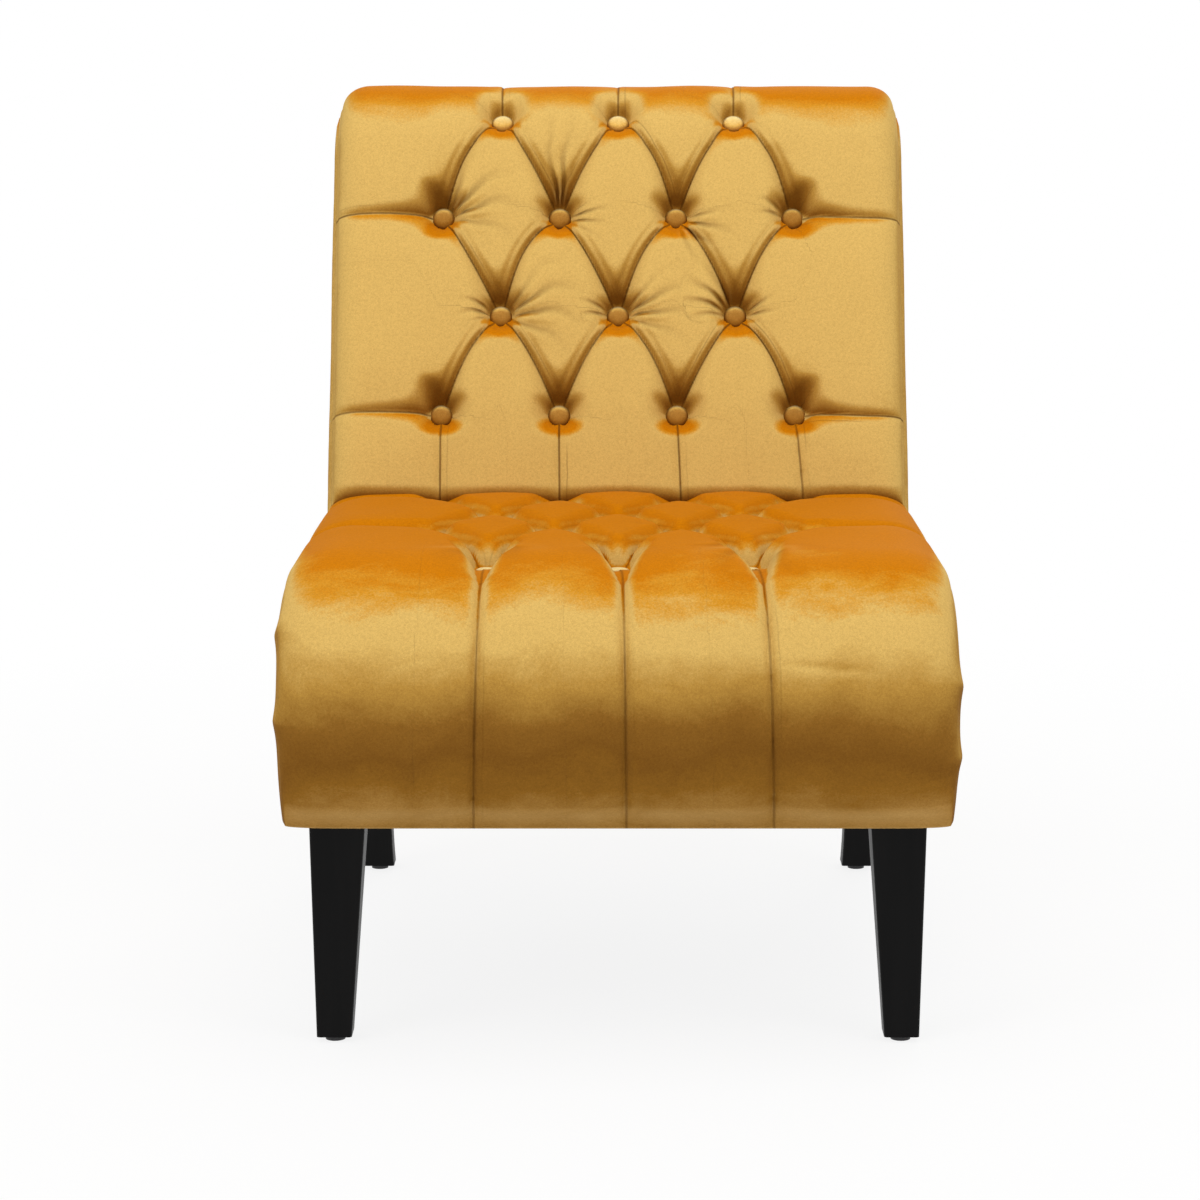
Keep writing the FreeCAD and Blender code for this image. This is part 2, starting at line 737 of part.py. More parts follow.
def frame_screws():
    """Screws through the side frames into the ends of the rails."""
    rail_middle = size("rail") / 2
    upper = RAIL_TOP - size("rail") / 2
    lower = upper - size("rail")
    middle = size("back_rail_height") / 2
    spots = [
        FreeCAD.Vector(0, FRAME_FRONT + rail_middle, upper),
        FreeCAD.Vector(0, FRAME_FRONT + rail_middle, lower),
        FreeCAD.Vector(0, size("rear_reach") - FRAME_REAR - rail_middle, upper),
        FreeCAD.Vector(0, size("rear_reach") - FRAME_REAR - rail_middle, lower),
        BACK.point(middle, BACK_RAIL + rail_middle),
        BACK.point(size("back_straight") - middle, BACK_RAIL + rail_middle),
        ROLL_CENTRE,
    ]
    screws = []
    for side in (-1, 1):
        for spot in spots:
            head = FreeCAD.Vector(side * size("frame_half"), spot.y, spot.z)
            inwards = FreeCAD.Vector(-side, 0, 0)
            screws.append(
                Part.makeCylinder(size("screw_radius"), size("screw_length"), head, inwards)
            )
    return Part.makeCompound(screws)


screws = shaped("frame_screws", frame_screws())


def side_frame(side):
    near = side * INNER
    return across(frame_outline(near), near, side * size("frame_half")).cut(screws.Shape)


both_sides("side_frame", side_frame)


def side_padding(side):
    near = side * size("frame_half")
    return across(frame_outline(near), near, near + side * size("side_pad"))


both_sides("side_padding", side_padding)


def side_cover(side):
    near = side * (size("frame_half") + size("side_pad"))
    return across(cover_outline(near), near, near + side * size("cloth"))


both_sides("side_cover", side_cover)

front_rail = box(
    "front_rail_stock", RAIL_LENGTH, "Sizes.rail",
    f"{SEAT_WEB_Z} - Sizes.leg_height - Sizes.block_height",
    centred(RAIL_LENGTH), "Sizes.rail_set_back - Sizes.front_reach",
    "Sizes.leg_height + Sizes.block_height",
)
cut("front_rail", front_rail, screws)

rear_rail = box(
    "rear_rail_stock", RAIL_LENGTH, "Sizes.rail",
    f"{SEAT_WEB_Z} - Sizes.leg_height - Sizes.block_height",
    centred(RAIL_LENGTH), "Sizes.rear_reach - Sizes.cloth - Sizes.back_pad - Sizes.rail",
    "Sizes.leg_height + Sizes.block_height",
)
cut("rear_rail", rear_rail, screws)

lower_back = leaning_box(
    "lower_back_stock", RAIL_LENGTH, "Sizes.rail", "Sizes.back_rail_height", 0, BACK_RAIL
)
cut("lower_back_rail", lower_back, screws)
top_back = leaning_box(
    "top_back_stock", RAIL_LENGTH, "Sizes.rail", "Sizes.back_rail_height",
    size("back_straight") - size("back_rail_height"), BACK_RAIL,
)
cut("top_back_rail", top_back, screws)

roll_rail = doc.addObject("Part::Cylinder", "roll_rail_stock")
bind(roll_rail, Radius="Sizes.roll_rail_radius", Height=RAIL_LENGTH)
roll_rail.Placement = FreeCAD.Placement(
    ROLL_CENTRE - FreeCAD.Vector(INNER, 0, 0),
    FreeCAD.Rotation(FreeCAD.Vector(0, 1, 0), QUARTER),
)
cut("roll_rail", roll_rail, screws)


# Suspension and burlap


def row_of(count, step):
    """Places of like pieces, evenly about the middle."""
    return [(k - (count - 1) / 2) * step for k in range(count)]


def strap_row(name, count, step, length, width, x, y, z):
    """Level straps of the seat; the place along the step is the strap's own middle."""
    straps = []
    for k in range(count):
        offset = f"{k - (count - 1) / 2} * {step}"
        straps.append(
            box(f"{name}_{k + 1}", length, width, "Sizes.web", x.format(offset), y.format(offset), z)
        )
    return group(name, straps)


strap_row(
    "seat_webbing_long", 5, "Sizes.seat_web_step", "Sizes.web_width",
    "Sizes.rear_reach - Sizes.cloth - Sizes.back_pad - Sizes.rail_set_back + Sizes.front_reach"
    " - 2 * Sizes.web_end",
    "{} - Sizes.web_width / 2", "Sizes.rail_set_back - Sizes.front_reach + Sizes.web_end",
    SEAT_WEB_Z,
)
strap_row(
    "seat_webbing_cross", 4, "Sizes.seat_web_step", STRAP_LENGTH, "Sizes.web_width",
    centred(STRAP_LENGTH),
    "{} + (Sizes.rail_set_back + Sizes.rail - Sizes.front_reach + Sizes.seat_rear"
    " - Sizes.web_width) / 2",
    SEAT_WEB_Z + " - Sizes.web",
)

SEAT_BURLAP_FRONT = "(Sizes.rail_set_back - Sizes.front_reach + Sizes.burlap_inset)"
burlap = box(
    "seat_burlap", STRAP_LENGTH, "Sizes.seat_rear - " + SEAT_BURLAP_FRONT, "Sizes.burlap",
    centred(STRAP_LENGTH), SEAT_BURLAP_FRONT, SEAT_WEB_Z + " + Sizes.web",
)
keep(burlap, "seat_burlap")

group("back_webbing_long", [
    leaning_box(
        f"back_webbing_long_{k + 1}", "Sizes.web_width", "Sizes.web",
        "Sizes.back_straight - 2 * Sizes.web_end", size("web_end"), BACK_WEB, x,
    )
    for k, x in enumerate(row_of(3, 1.5 * size("back_web_step")))
])
group("back_webbing_cross", [
    leaning_box(
        f"back_webbing_cross_{k + 1}", STRAP_LENGTH, "Sizes.web", "Sizes.web_width",
        size("back_straight") / 2 - size("web_width") / 2 + along, BACK_RAIL,
    )
    for k, along in enumerate(row_of(3, size("back_web_step")))
])
keep(
    leaning_box(
        "back_burlap", STRAP_LENGTH, "Sizes.burlap", "Sizes.back_straight - Sizes.web_end",
        0, BACK_BURLAP,
    ),
    "back_burlap",
)


# Outside back, dust cover and welts


shaped(
    "outside_back_cover",
    band(OUTSIDE, 0, size("cloth"), 0, OUTSIDE.length(), SIDE_FACE - size("ease")),
)
shaped(
    "outside_back_padding",
    band(
        OUTSIDE, size("cloth"), FRAME_REAR, size("tuck_under") + size("tack_width"),
        OUTSIDE.length(), size("frame_half"),
    ),
)
shaped(
    "tack_strip",
    band(
        OUTSIDE, size("cloth"), FRAME_REAR, size("tuck_under"),
        size("tuck_under") + size("tack_width"), size("frame_half"),
    ),
)


def welt(route, depth, x, start=0.0):
    """Piping that follows a side-view line."""
    path = Part.Wire(route.edges(depth, x, start))
    ring = Part.makeCircle(
        size("welt"), route.point(start, depth, x),
        route.point(start + 1, depth, x) - route.point(start, depth, x),
    )
    return path.makePipeShell([Part.Wire(ring)], True, True)


both_sides(
    "seat_welt",
    lambda side: welt(
        SEAT, size("side_drop") + size("seam") + size("welt"),
        side * (SIDE_FACE + size("cloth") + size("welt")),
    ),
)
both_sides(
    "back_welt",
    lambda side: welt(
        BACK, size("side_drop") + size("welt"), side * (BACK_HALF + size("welt")),
        size("welt"),
    ),
)


# Legs. Each is drawn up from its foot; the outer face keeps its distance from the centre.


def plane_of(body, role):
    return next(f for f in body.Origin.OriginFeatures if f.Role == role)


def rounded_rectangle(body, name, width, depth, x, y, z):
    """A rectangle with round corners about its own middle, level with the floor."""
    made = body.newObject("Sketcher::SketchObject", name)
    made.AttachmentSupport = [(plane_of(body, "XY_Plane"), "")]
    made.MapMode = "FlatFace"
    half = size("front_leg_foot") / 2
    corner = size("leg_edge")
    flat = half - corner
    up = FreeCAD.Vector(0, 0, 1)
    for k in range(4):
        turn = FreeCAD.Rotation(up, QUARTER * k)
        line = Part.LineSegment(
            turn.multVec(FreeCAD.Vector(-flat, -half, 0)), turn.multVec(FreeCAD.Vector(flat, -half, 0))
        )
        ring = Part.Circle(turn.multVec(FreeCAD.Vector(flat, -flat, 0)), up, corner)
        begin = math.radians(QUARTER * (k - 1))
        made.addGeometry(line, False)
        made.addGeometry(Part.ArcOfCircle(ring, begin, begin + math.pi / 2), False)
    for k in range(4):
        line, arc, following = 2 * k, 2 * k + 1, (2 * k + 2) % 8
        made.addConstraint(Sketcher.Constraint("Tangent", line, 2, arc, 1))
        made.addConstraint(Sketcher.Constraint("Tangent", arc, 2, following, 1))
        made.addConstraint(Sketcher.Constraint("Horizontal" if k % 2 == 0 else "Vertical", line))
    for arc in (3, 5, 7):
        made.addConstraint(Sketcher.Constraint("Equal", 1, arc))
    made.addConstraint(Sketcher.Constraint("Symmetric", 0, 1, 4, 1, -1, 1))
    wide = made.addConstraint(Sketcher.Constraint("DistanceX", 6, 1, 2, 2, 2 * half))
    deep = made.addConstraint(Sketcher.Constraint("DistanceY", 0, 1, 4, 2, 2 * half))
    round_corner = made.addConstraint(Sketcher.Constraint("Radius", 1, corner))
    made.setExpression(f"Constraints[{wide}]", width)
    made.setExpression(f"Constraints[{deep}]", depth)
    made.setExpression(f"Constraints[{round_corner}]", "Sizes.leg_edge")
    return place_sketch(made, x, y, z)


def circle(body, name, radius, x, y, z):
    made = body.newObject("Sketcher::SketchObject", name)
    made.AttachmentSupport = [(plane_of(body, "XY_Plane"), "")]
    made.MapMode = "FlatFace"
    made.addGeometry(
        Part.Circle(FreeCAD.Vector(0, 0, 0), FreeCAD.Vector(0, 0, 1), size("nail_radius")), False
    )
    made.addConstraint(Sketcher.Constraint("Coincident", 0, 3, -1, 1))
    wide = made.addConstraint(Sketcher.Constraint("Radius", 0, size("nail_radius")))
    made.setExpression(f"Constraints[{wide}]", radius)
    return place_sketch(made, x, y, z)


def place_sketch(made, x, y, z):
    made.setExpression("AttachmentOffset.Base.x", x)
    made.setExpression("AttachmentOffset.Base.y", y)
    made.setExpression("AttachmentOffset.Base.z", z)
    return made


def drilled(body, name, radius, length, x, y, z, upwards):
    """A round hole down from a level, or up from it."""
    hole = body.newObject("PartDesign::Pocket", name)
    hole.Profile = circle(body, f"{name}_circle", radius, x, y, z)
    hole.setExpression("Length", length)
    hole.Reversed = upwards
    return hole


def middle_x(side, station):
    """The middle of a leg's section, from its outer face and its width."""
    return f"{side} * ({station[2]} - {station[0]} / 2)"


def leg(name, side, stations, bolt_y, foot_y):
    """A leg lofted through its sections, with holes for its bolt and nail."""
    body = doc.addObject("PartDesign::Body", name)
    sketches = [
        rounded_rectangle(
            body, f"{name}_section_{k + 1}", station[0], station[1],
            middle_x(side, station), station[3], station[4],
        )
        for k, station in enumerate(stations)
    ]
    loft = body.newObject("PartDesign::AdditiveLoft", f"{name}_loft")
    loft.Profile = sketches[0]
    loft.Sections = [(sketch, [""]) for sketch in sketches[1:]]
    loft.Ruled = False
    bolt_x = middle_x(side, stations[-1])
    foot_x = middle_x(side, stations[0])
    drilled(
        body, f"{name}_bolt_hole", "Sizes.bolt_radius", "Sizes.bolt_grip",
        bolt_x, bolt_y, "Sizes.leg_height", False,
    )
    drilled(
        body, f"{name}_nail_hole", "Sizes.nail_radius", "Sizes.nail_length",
        foot_x, foot_y, "Sizes.glide_height", True,
    )
    return keep(body, name)


# Each section: width, depth, outer face from the centre, place from front to rear, level.
FRONT_STATIONS = [
    (
        "Sizes.front_leg_foot", "Sizes.front_leg_foot", "(Sizes.frame_half - Sizes.front_foot_inset)",
        "-Sizes.front_leg_y", "Sizes.glide_height",
    ),
    (
        "Sizes.front_leg_top", "Sizes.front_leg_top", "(Sizes.frame_half - Sizes.leg_inset)",
        "-Sizes.front_leg_y", "Sizes.leg_height",
    ),
]
REAR_STATIONS = [
    (
        "Sizes.rear_leg_foot", "Sizes.rear_leg_foot", "(Sizes.frame_half - Sizes.rear_foot_inset)",
        "Sizes.rear_foot_y", "Sizes.glide_height",
    ),
    (
        "Sizes.rear_leg_waist", "Sizes.rear_leg_foot", "(Sizes.frame_half - Sizes.rear_waist_inset)",
        "Sizes.rear_waist_y", "Sizes.rear_waist_level",
    ),
    (
        "Sizes.rear_leg_top", "Sizes.rear_leg_top", "(Sizes.frame_half - Sizes.leg_inset)",
        "Sizes.rear_leg_y", "Sizes.leg_height",
    ),
]
LEGS = [
    ("front_leg", FRONT_STATIONS, "-Sizes.front_bolt_y"),
    ("rear_leg", REAR_STATIONS, "Sizes.rear_bolt_y"),
]

bolts = []
nails = []
blocks = []
leg_rooms = []
for kind, stations, bolt_y in LEGS:
    foot_y = stations[0][3]
    top_width, top_depth, _, top_y, _ = stations[-1]
    for side, word in ((-1, "left"), (1, "right")):
        leg(f"{kind}_{word}", side, stations, bolt_y, foot_y)
        bolt_x = middle_x(side, stations[-1])
        foot_x = middle_x(side, stations[0])
        glide = rod(
            f"{kind}_glide_{word}", "Sizes.glide_radius", "Sizes.glide_height", foot_x, foot_y, "0"
        )
        keep(glide, f"{kind}_glide_{word}")
        nails.append(
            rod(
                f"{kind}_nail_{word}", "Sizes.nail_radius", "Sizes.nail_length",
                foot_x, foot_y, "Sizes.glide_height",
            )
        )
        bolts.append(
            rod(
                f"{kind}_bolt_{word}", "Sizes.bolt_radius", "Sizes.bolt_grip + Sizes.block_height",
                bolt_x, bolt_y, "Sizes.leg_height - Sizes.bolt_grip",
            )
        )
        block_x = (
            "Sizes.frame_half - Sizes.ply - Sizes.block"
            if side > 0 else "Sizes.ply - Sizes.frame_half"
        )
        block_y = (
            "Sizes.rail_set_back - Sizes.front_reach" if kind == "front_leg"
            else "Sizes.rear_reach - Sizes.cloth - Sizes.back_pad - Sizes.block"
        )
        blocks.append(
            box(
                f"{kind}_block_{word}", "Sizes.block", "Sizes.block", "Sizes.block_height",
                block_x, block_y, "Sizes.leg_height",
            )
        )
        leg_rooms.append(
            box(
                f"{kind}_room_{word}", f"{top_width} + 2 * Sizes.leg_gap",
                f"{top_depth} + 2 * Sizes.leg_gap", "2 * Sizes.dust_cover",
                f"{bolt_x} - {top_width} / 2 - Sizes.leg_gap",
                f"{top_y} - {top_depth} / 2 - Sizes.leg_gap",
                "Sizes.leg_height - 2 * Sizes.dust_cover",
            )
        )

leg_bolts = group("leg_bolts", bolts)
group("glide_nails", nails)

block_stock = doc.addObject("Part::Compound", "corner_block_stock")
block_stock.Links = blocks
cut("corner_blocks", block_stock, leg_bolts)

dust_sheet = box(
    "dust_sheet", STRAP_LENGTH,
    "Sizes.rear_reach - Sizes.cloth - Sizes.back_pad - Sizes.rail_set_back + Sizes.front_reach"
    " - Sizes.web_end",
    "Sizes.dust_cover",
    centred(STRAP_LENGTH), "Sizes.rail_set_back - Sizes.front_reach",
    "Sizes.leg_height - Sizes.dust_cover",
)
rooms = doc.addObject("Part::Compound", "leg_rooms")
rooms.Links = leg_rooms
cut("dust_cover", dust_sheet, rooms)


def check_and_write():
    """Stops at the first failed object, then writes each sub-part to its own file."""
    doc.recompute()
    for made in doc.Objects:
        if "Invalid" in made.State or "Error" in made.State:
            raise RuntimeError(f"{made.Name} failed: {made.State}")
    for part in parts:
        if part.Shape.isNull() or not part.Shape.isValid() or part.Shape.Volume <= 0:
            raise RuntimeError(f"{part.Label} has no valid shape")
    os.makedirs("parts", exist_ok=True)
    for part in parts:
        part.Shape.exportStep(os.path.join("parts", f"{part.Label}.step"))


check_and_write()
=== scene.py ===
import math

import bmesh
import bpy
import numpy as np
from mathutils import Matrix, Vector


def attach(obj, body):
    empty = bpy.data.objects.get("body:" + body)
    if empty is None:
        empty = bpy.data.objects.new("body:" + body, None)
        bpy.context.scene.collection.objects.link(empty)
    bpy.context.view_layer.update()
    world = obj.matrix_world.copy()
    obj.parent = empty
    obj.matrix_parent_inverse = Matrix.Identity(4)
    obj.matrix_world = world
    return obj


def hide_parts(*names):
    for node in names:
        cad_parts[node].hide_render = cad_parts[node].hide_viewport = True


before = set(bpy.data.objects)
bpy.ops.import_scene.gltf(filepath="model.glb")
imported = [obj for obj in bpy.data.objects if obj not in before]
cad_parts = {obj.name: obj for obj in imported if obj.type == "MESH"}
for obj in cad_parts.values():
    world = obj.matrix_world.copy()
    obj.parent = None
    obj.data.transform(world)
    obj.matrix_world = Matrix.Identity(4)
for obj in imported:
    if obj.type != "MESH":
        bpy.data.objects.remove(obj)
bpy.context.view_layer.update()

# Sizes of the chair, in metres and degrees, as the frame has them

LEG_HEIGHT = 0.190
SEAT_LEVEL = 0.386
FRONT_REACH = 0.357
ROLL_RADIUS = 0.096
FRONT_TUCK = 0.034
SEAT_REAR = 0.121
BACK_START = (0.1267, 0.412)
RECLINE = 21.5
BACK_STRAIGHT = 0.349
TOP_RADIUS = 0.080
SCROLL_RADIUS = 0.045
SCROLL_TURN = 125
SEAT_HALF = 0.280
BACK_HALF = 0.274
SIDE_FACE = 0.278
SIDE_DROP = 0.018
SEAM = 0.001
CLOTH = 0.002
BUTTON_PITCH = 0.114
SEAT_ROW_STEP = 0.095
BACK_ROW_STEP = 0.100
FIRST_SEAT_ROW = 0.066
FIRST_BACK_ROW = 0.078
SEAT_PUFF = 0.032
BACK_PUFF = 0.027
TOP_PUFF = 0.012
BACK_DEPTH = 0.100
REAR_REACH = 0.254
REAR_BEND = 0.140
TUCK_UNDER = 0.016
BUTTON_RADIUS = 0.0112
BUTTON_DOME = 0.0055


# Side-view lines


class Route:
    """A side-view line of straight runs and tangent arcs.

    A heading is the angle from +Y towards +Z.
    """

    def __init__(self, y, z, heading):
        self.y = y
        self.z = z
        self.heading = heading
        self.runs = []

    def straight(self, length):
        self.runs.append((self.y, self.z, self.heading, length, 0.0))
        self.y, self.z, self.heading = self.along(self.runs[-1], length)
        return self

    def bend(self, radius, turn):
        """Turns right by a positive angle, left by a negative one."""
        length = math.radians(abs(turn)) * radius
        self.runs.append((self.y, self.z, self.heading, length, math.copysign(radius, turn)))
        self.y, self.z, self.heading = self.along(self.runs[-1], length)
        return self

    @staticmethod
    def along(run, distance):
        y, z, heading, _, radius = run
        angle = math.radians(heading)
        if not radius:
            return y + distance * math.cos(angle), z + distance * math.sin(angle), heading
        turned = angle - distance / radius
        middle_y = y + radius * math.sin(angle)
        middle_z = z - radius * math.cos(angle)
        return (
            middle_y - radius * math.sin(turned),
            middle_z + radius * math.cos(turned),
            math.degrees(turned),
        )

    def length(self):
        return sum(run[3] for run in self.runs)

    def place(self, distance):
        for run in self.runs:
            if distance <= run[3] + 1e-9:
                return self.along(run, distance)
            distance -= run[3]
        return self.along(self.runs[-1], self.runs[-1][3] + distance)

    def point(self, x, distance, level):
        """The point that stands level above the line, outwards."""
        y, z, heading = self.place(distance)
        angle = math.radians(heading)
        return Vector((x, y - level * math.sin(angle), z + level * math.cos(angle)))

    def line(self, level, step):
        """Points all along the line, about a step apart."""
        whole = self.length()
        count = max(1, round(whole / step))
        return [self.point(0, whole * k / count, level) for k in range(count + 1)]


def seat_route():
    drop = SEAT_LEVEL - ROLL_RADIUS - LEG_HEIGHT - CLOTH
    radius = (FRONT_TUCK ** 2 + drop ** 2) / (2 * FRONT_TUCK)
    turn = math.degrees(math.asin(drop / radius))
    route = Route(FRONT_TUCK - FRONT_REACH, LEG_HEIGHT + CLOTH, 90 + turn)
    route.bend(radius, turn).bend(ROLL_RADIUS, 90)
    return route.straight(SEAT_REAR + FRONT_REACH - ROLL_RADIUS)


def back_route():
    route = Route(*BACK_START, 90 - RECLINE).straight(BACK_STRAIGHT)
    return route.bend(TOP_RADIUS, 90 - RECLINE).bend(SCROLL_RADIUS, SCROLL_TURN)


def outside_route():
    lean = math.radians(RECLINE)
    reach = BACK_STRAIGHT + TUCK_UNDER
    top_y = BACK_START[0] + reach * math.sin(lean) + BACK_DEPTH * math.cos(lean)
    top_z = BACK_START[1] + reach * math.cos(lean) - BACK_DEPTH * math.sin(lean)
    corner_z = top_z - (top_y - REAR_REACH) / math.tan(lean)
    tangent = REAR_BEND * math.tan(lean / 2)
    route = Route(top_y, top_z, -90 - RECLINE)
    route.straight((top_z - corner_z) / math.cos(lean) - tangent).bend(REAR_BEND, -RECLINE)
    return route.straight(corner_z - tangent - LEG_HEIGHT)


SEAT = seat_route()
BACK = back_route()
OUTSIDE = outside_route()
ROLL_END = SEAT.runs[0][3] + SEAT.runs[1][3]
BACK_APEX = BACK.runs[0][3] + BACK.runs[1][3]


def button_rows(first, step, rows):
    """Each row's distance along its line and its buttons' places across."""
    return {
        letter: (first + k * step, [(n - (count - 1) / 2) * BUTTON_PITCH for n in range(count)])
        for k, (letter, count) in enumerate(rows)
    }


SEAT_ROWS = button_rows(
    ROLL_END + FIRST_SEAT_ROW, SEAT_ROW_STEP, (("e", 3), ("f", 4), ("g", 3), ("h", 4))
)
BACK_ROWS = button_rows(
    FIRST_BACK_ROW, BACK_ROW_STEP, (("d", 4), ("c", 3), ("b", 4), ("a", 3))
)
ROW_A, ROW_D = BACK_ROWS["a"][0], BACK_ROWS["d"][0]
ROW_E, ROW_H = SEAT_ROWS["e"][0], SEAT_ROWS["h"][0]


# Materials


class Value:
    """A node's number socket that takes part in Python expressions."""

    def __init__(self, nodes, socket):
        self.nodes = nodes
        self.socket = socket

    def math(self, operation, *terms):
        node = self.nodes.add("ShaderNodeMath", {"operation": operation}, *terms)
        return Value(self.nodes, node.outputs[0])

    def __add__(self, other):
        return self.math("ADD", self, other)

    def __sub__(self, other):
        return self.math("SUBTRACT", self, other)

    def __mul__(self, other):
        return self.math("MULTIPLY", self, other)

    def __truediv__(self, other):
        return self.math("DIVIDE", self, other)

    def __pow__(self, other):
        return self.math("POWER", self, other)

    def __radd__(self, other):
        return self.math("ADD", other, self)

    def __rsub__(self, other):
        return self.math("SUBTRACT", other, self)

    def __rmul__(self, other):
        return self.math("MULTIPLY", other, self)

    def sine(self):
        return self.math("SINE", self)

    def size(self):
        return self.math("ABSOLUTE", self)

    def clipped(self):
        return self.math("MINIMUM", self.math("MAXIMUM", self, 0.0), 1.0)


class Nodes:
    """A node tree whose nodes all come from one method."""

    def __init__(self, tree):
        self.tree = tree
        tree.nodes.clear()

    def add(self, kind, settings, *values, **named):
        """A node with its settings, and values or links for its sockets in order or by name."""
        node = self.tree.nodes.new(kind)
        for key, setting in settings.items():
            if key == "stops":
                ramp = node.color_ramp
                while len(ramp.elements) < len(setting):
                    ramp.elements.new(0.5)
                for element, (position, colour) in zip(ramp.elements, setting):
                    element.position = position
                    element.color = (*colour, 1)
            else:
                setattr(node, key, setting)
        names = {key.replace("_", " "): value for key, value in named.items()}
        for key, value in [*enumerate(values), *names.items()]:
            if value is not None:
                self.fill(node.inputs[key], value)
        return node

    def fill(self, socket, value):
        """Gives a socket its link or its value."""
        if isinstance(value, Value):
            value = value.socket
        if isinstance(value, bpy.types.NodeSocket):
            self.tree.links.new(value, socket)
        elif socket.type == "RGBA":
            socket.default_value = (*value, 1)
        else:
            socket.default_value = value

    def value(self, node, output=0):
        return Value(self, node.outputs[output])

    def seen(self):
        """One for the rays that show the background: straight, in gloss or through glass."""
        ray = self.add("ShaderNodeLightPath", {})
        kinds = ("Is Camera Ray", "Is Glossy Ray", "Is Transmission Ray")
        straight, glossy, through = (self.value(ray, kind) for kind in kinds)
        return (straight + glossy + through).clipped()


class Finish(Nodes):
    """A material's nodes, which end in one shader."""

    def __init__(self, name, **constants):
        self.material = bpy.data.materials.new(name)
        self.material.use_nodes = True
        super().__init__(self.material.node_tree)
        self.shader = self.add("ShaderNodeBsdfPrincipled", {}, **constants)
        self.output = self.add("ShaderNodeOutputMaterial", {}, Surface=self.shader.outputs[0])
        self.place = self.add("ShaderNodeTexCoord", {}).outputs["Object"]

    def axis(self, letter, vector=None):
        """One number of a vector, or else of the place."""
        return self.value(self.add("ShaderNodeSeparateXYZ", {}, vector or self.place), letter)

    def mark(self, name):
        """A number that the mesh carries at its points."""
        return self.value(self.add("ShaderNodeAttribute", {"attribute_name": name}), "Fac")

    def moved(self, scale):
        """The place, scaled by axis."""
        return self.add("ShaderNodeMapping", {}, Vector=self.place, Scale=scale).outputs[0]

    def noise(self, scale, detail=3.0, roughness=0.55, place=None, distortion=0.0):
        node = self.add(
            "ShaderNodeTexNoise", {}, Vector=place or self.place, Scale=scale, Detail=detail,
            Roughness=roughness, Distortion=distortion,
        )
        return self.value(node)

    def ramp(self, value, stops):
        return self.add("ShaderNodeValToRGB", {"stops": stops}, value).outputs[0]

    def mixed(self, share, first, second, blend="MIX"):
        """Two colours mixed by a share; the node's other kinds of sockets stay as they are."""
        settings = {"data_type": "RGBA", "blend_type": blend}
        others = [None] * 5
        return self.add("ShaderNodeMix", settings, share, *others, first, second).outputs[2]

    def bump(self, height, distance, strength=1.0, normal=None):
        node = self.add(
            "ShaderNodeBump", {}, Height=height, Distance=distance, Strength=strength,
            Normal=normal,
        )
        return node.outputs[0]

    def finish(self, **links):
        for key, value in links.items():
            self.fill(self.shader.inputs[key.replace("_", " ")], value)
        return self.material


def linear(*rgb):
    """A colour from its eight-bit display numbers."""
    shares = [c / 255 for c in rgb]
    return tuple(c / 12.92 if c <= 0.04045 else ((c + 0.055) / 1.055) ** 2.4 for c in shares)


# The velvet's colours. Its ramps paint light and shade by which way the surface faces: bronzes as
# painted shade where it faces down, pale gold where it faces out, warm and orange gold where it
# faces up. The first, darkest brown is the painted shade in folds, wrinkles and button gathers.
FOLD_SHADE_BROWN = linear(98, 58, 12)
DARK_BRONZE = linear(120, 78, 20)
BRONZE = linear(152, 106, 36)
MID_GOLD = linear(190, 146, 66)
PALE_GOLD = linear(222, 184, 104)
WARM_GOLD = linear(214, 150, 42)
ORANGE_GOLD = linear(206, 124, 0)
SHEEN_TINT = linear(255, 226, 160)
WHITE = (1.0, 1.0, 1.0)

# Velvet: how many noise cells to a metre each of its marks has, and the widths of the painted shade
# lines of its folds
NAP_PATCHES = 8.0
BRUSH_MARKS = 30.0
BRUSH_LIE = (0.5, 1.0, 0.8)
RUMPLES = 85.0
WEAVE = 430.0
PILE_TIPS = 520.0
PILE_GRAIN = 1300.0
TIP_TURN = 0.18
SLIT_HALF = 0.0014
SECOND_FOLD = 0.0070
SECOND_HALF = 0.0011
SECOND_WANDER = 0.004
RIM_START = 0.72
GRAIN_SHADE = [(0.25, (0.42, 0.36, 0.30)), (0.75, WHITE)]
WEAVE_SHADE = [(0.36, (0.76, 0.72, 0.66)), (0.60, WHITE)]


def drawn_folds(f, tone, line):
    """Painted shade in the pleats' slits, in a broken second fold beside them, which is painted
    only, and at the edges of the fans of wrinkles: painted shade in their valleys and painted light
    on their crests.

    Gives the tone with these in it, and the relief of the slits and the valleys.
    """
    fold = f.mark("fold_offset")
    wander = (f.noise(22.0, 2.0) - 0.5) * SECOND_WANDER
    slit = 1 - (fold.size() / SLIT_HALF).clipped()
    broken = (f.noise(12.0, 1.0) * 4 - 1.6).clipped()
    second = (1 - ((fold - SECOND_FOLD + wander).size() / SECOND_HALF).clipped()) * broken
    crest = (f.mark("fan_phase") + f.noise(34.0, 2.0) * 2.0).sine()
    strength = f.mark("fan_strength")
    valley = (0.5 - crest * 0.5) ** 3.0 * strength
    lit = (0.5 + crest * 0.5) ** 3.0 * strength
    # The slits' painted shade is uneven along them.
    uneven_shade = f.noise(11.0, 2.0) * 1.1 + 0.35
    # Painted light on the wrinkles' crests, then painted shade in the slits, the second fold and
    # the wrinkles' valleys.
    tone = f.mixed((lit * 0.45).clipped(), tone, PALE_GOLD)
    dark = slit * line * uneven_shade + second * (line * 0.5) + valley * 0.62
    return f.mixed(dark.clipped(), tone, FOLD_SHADE_BROWN), valley * -2.2 + slit * -0.8


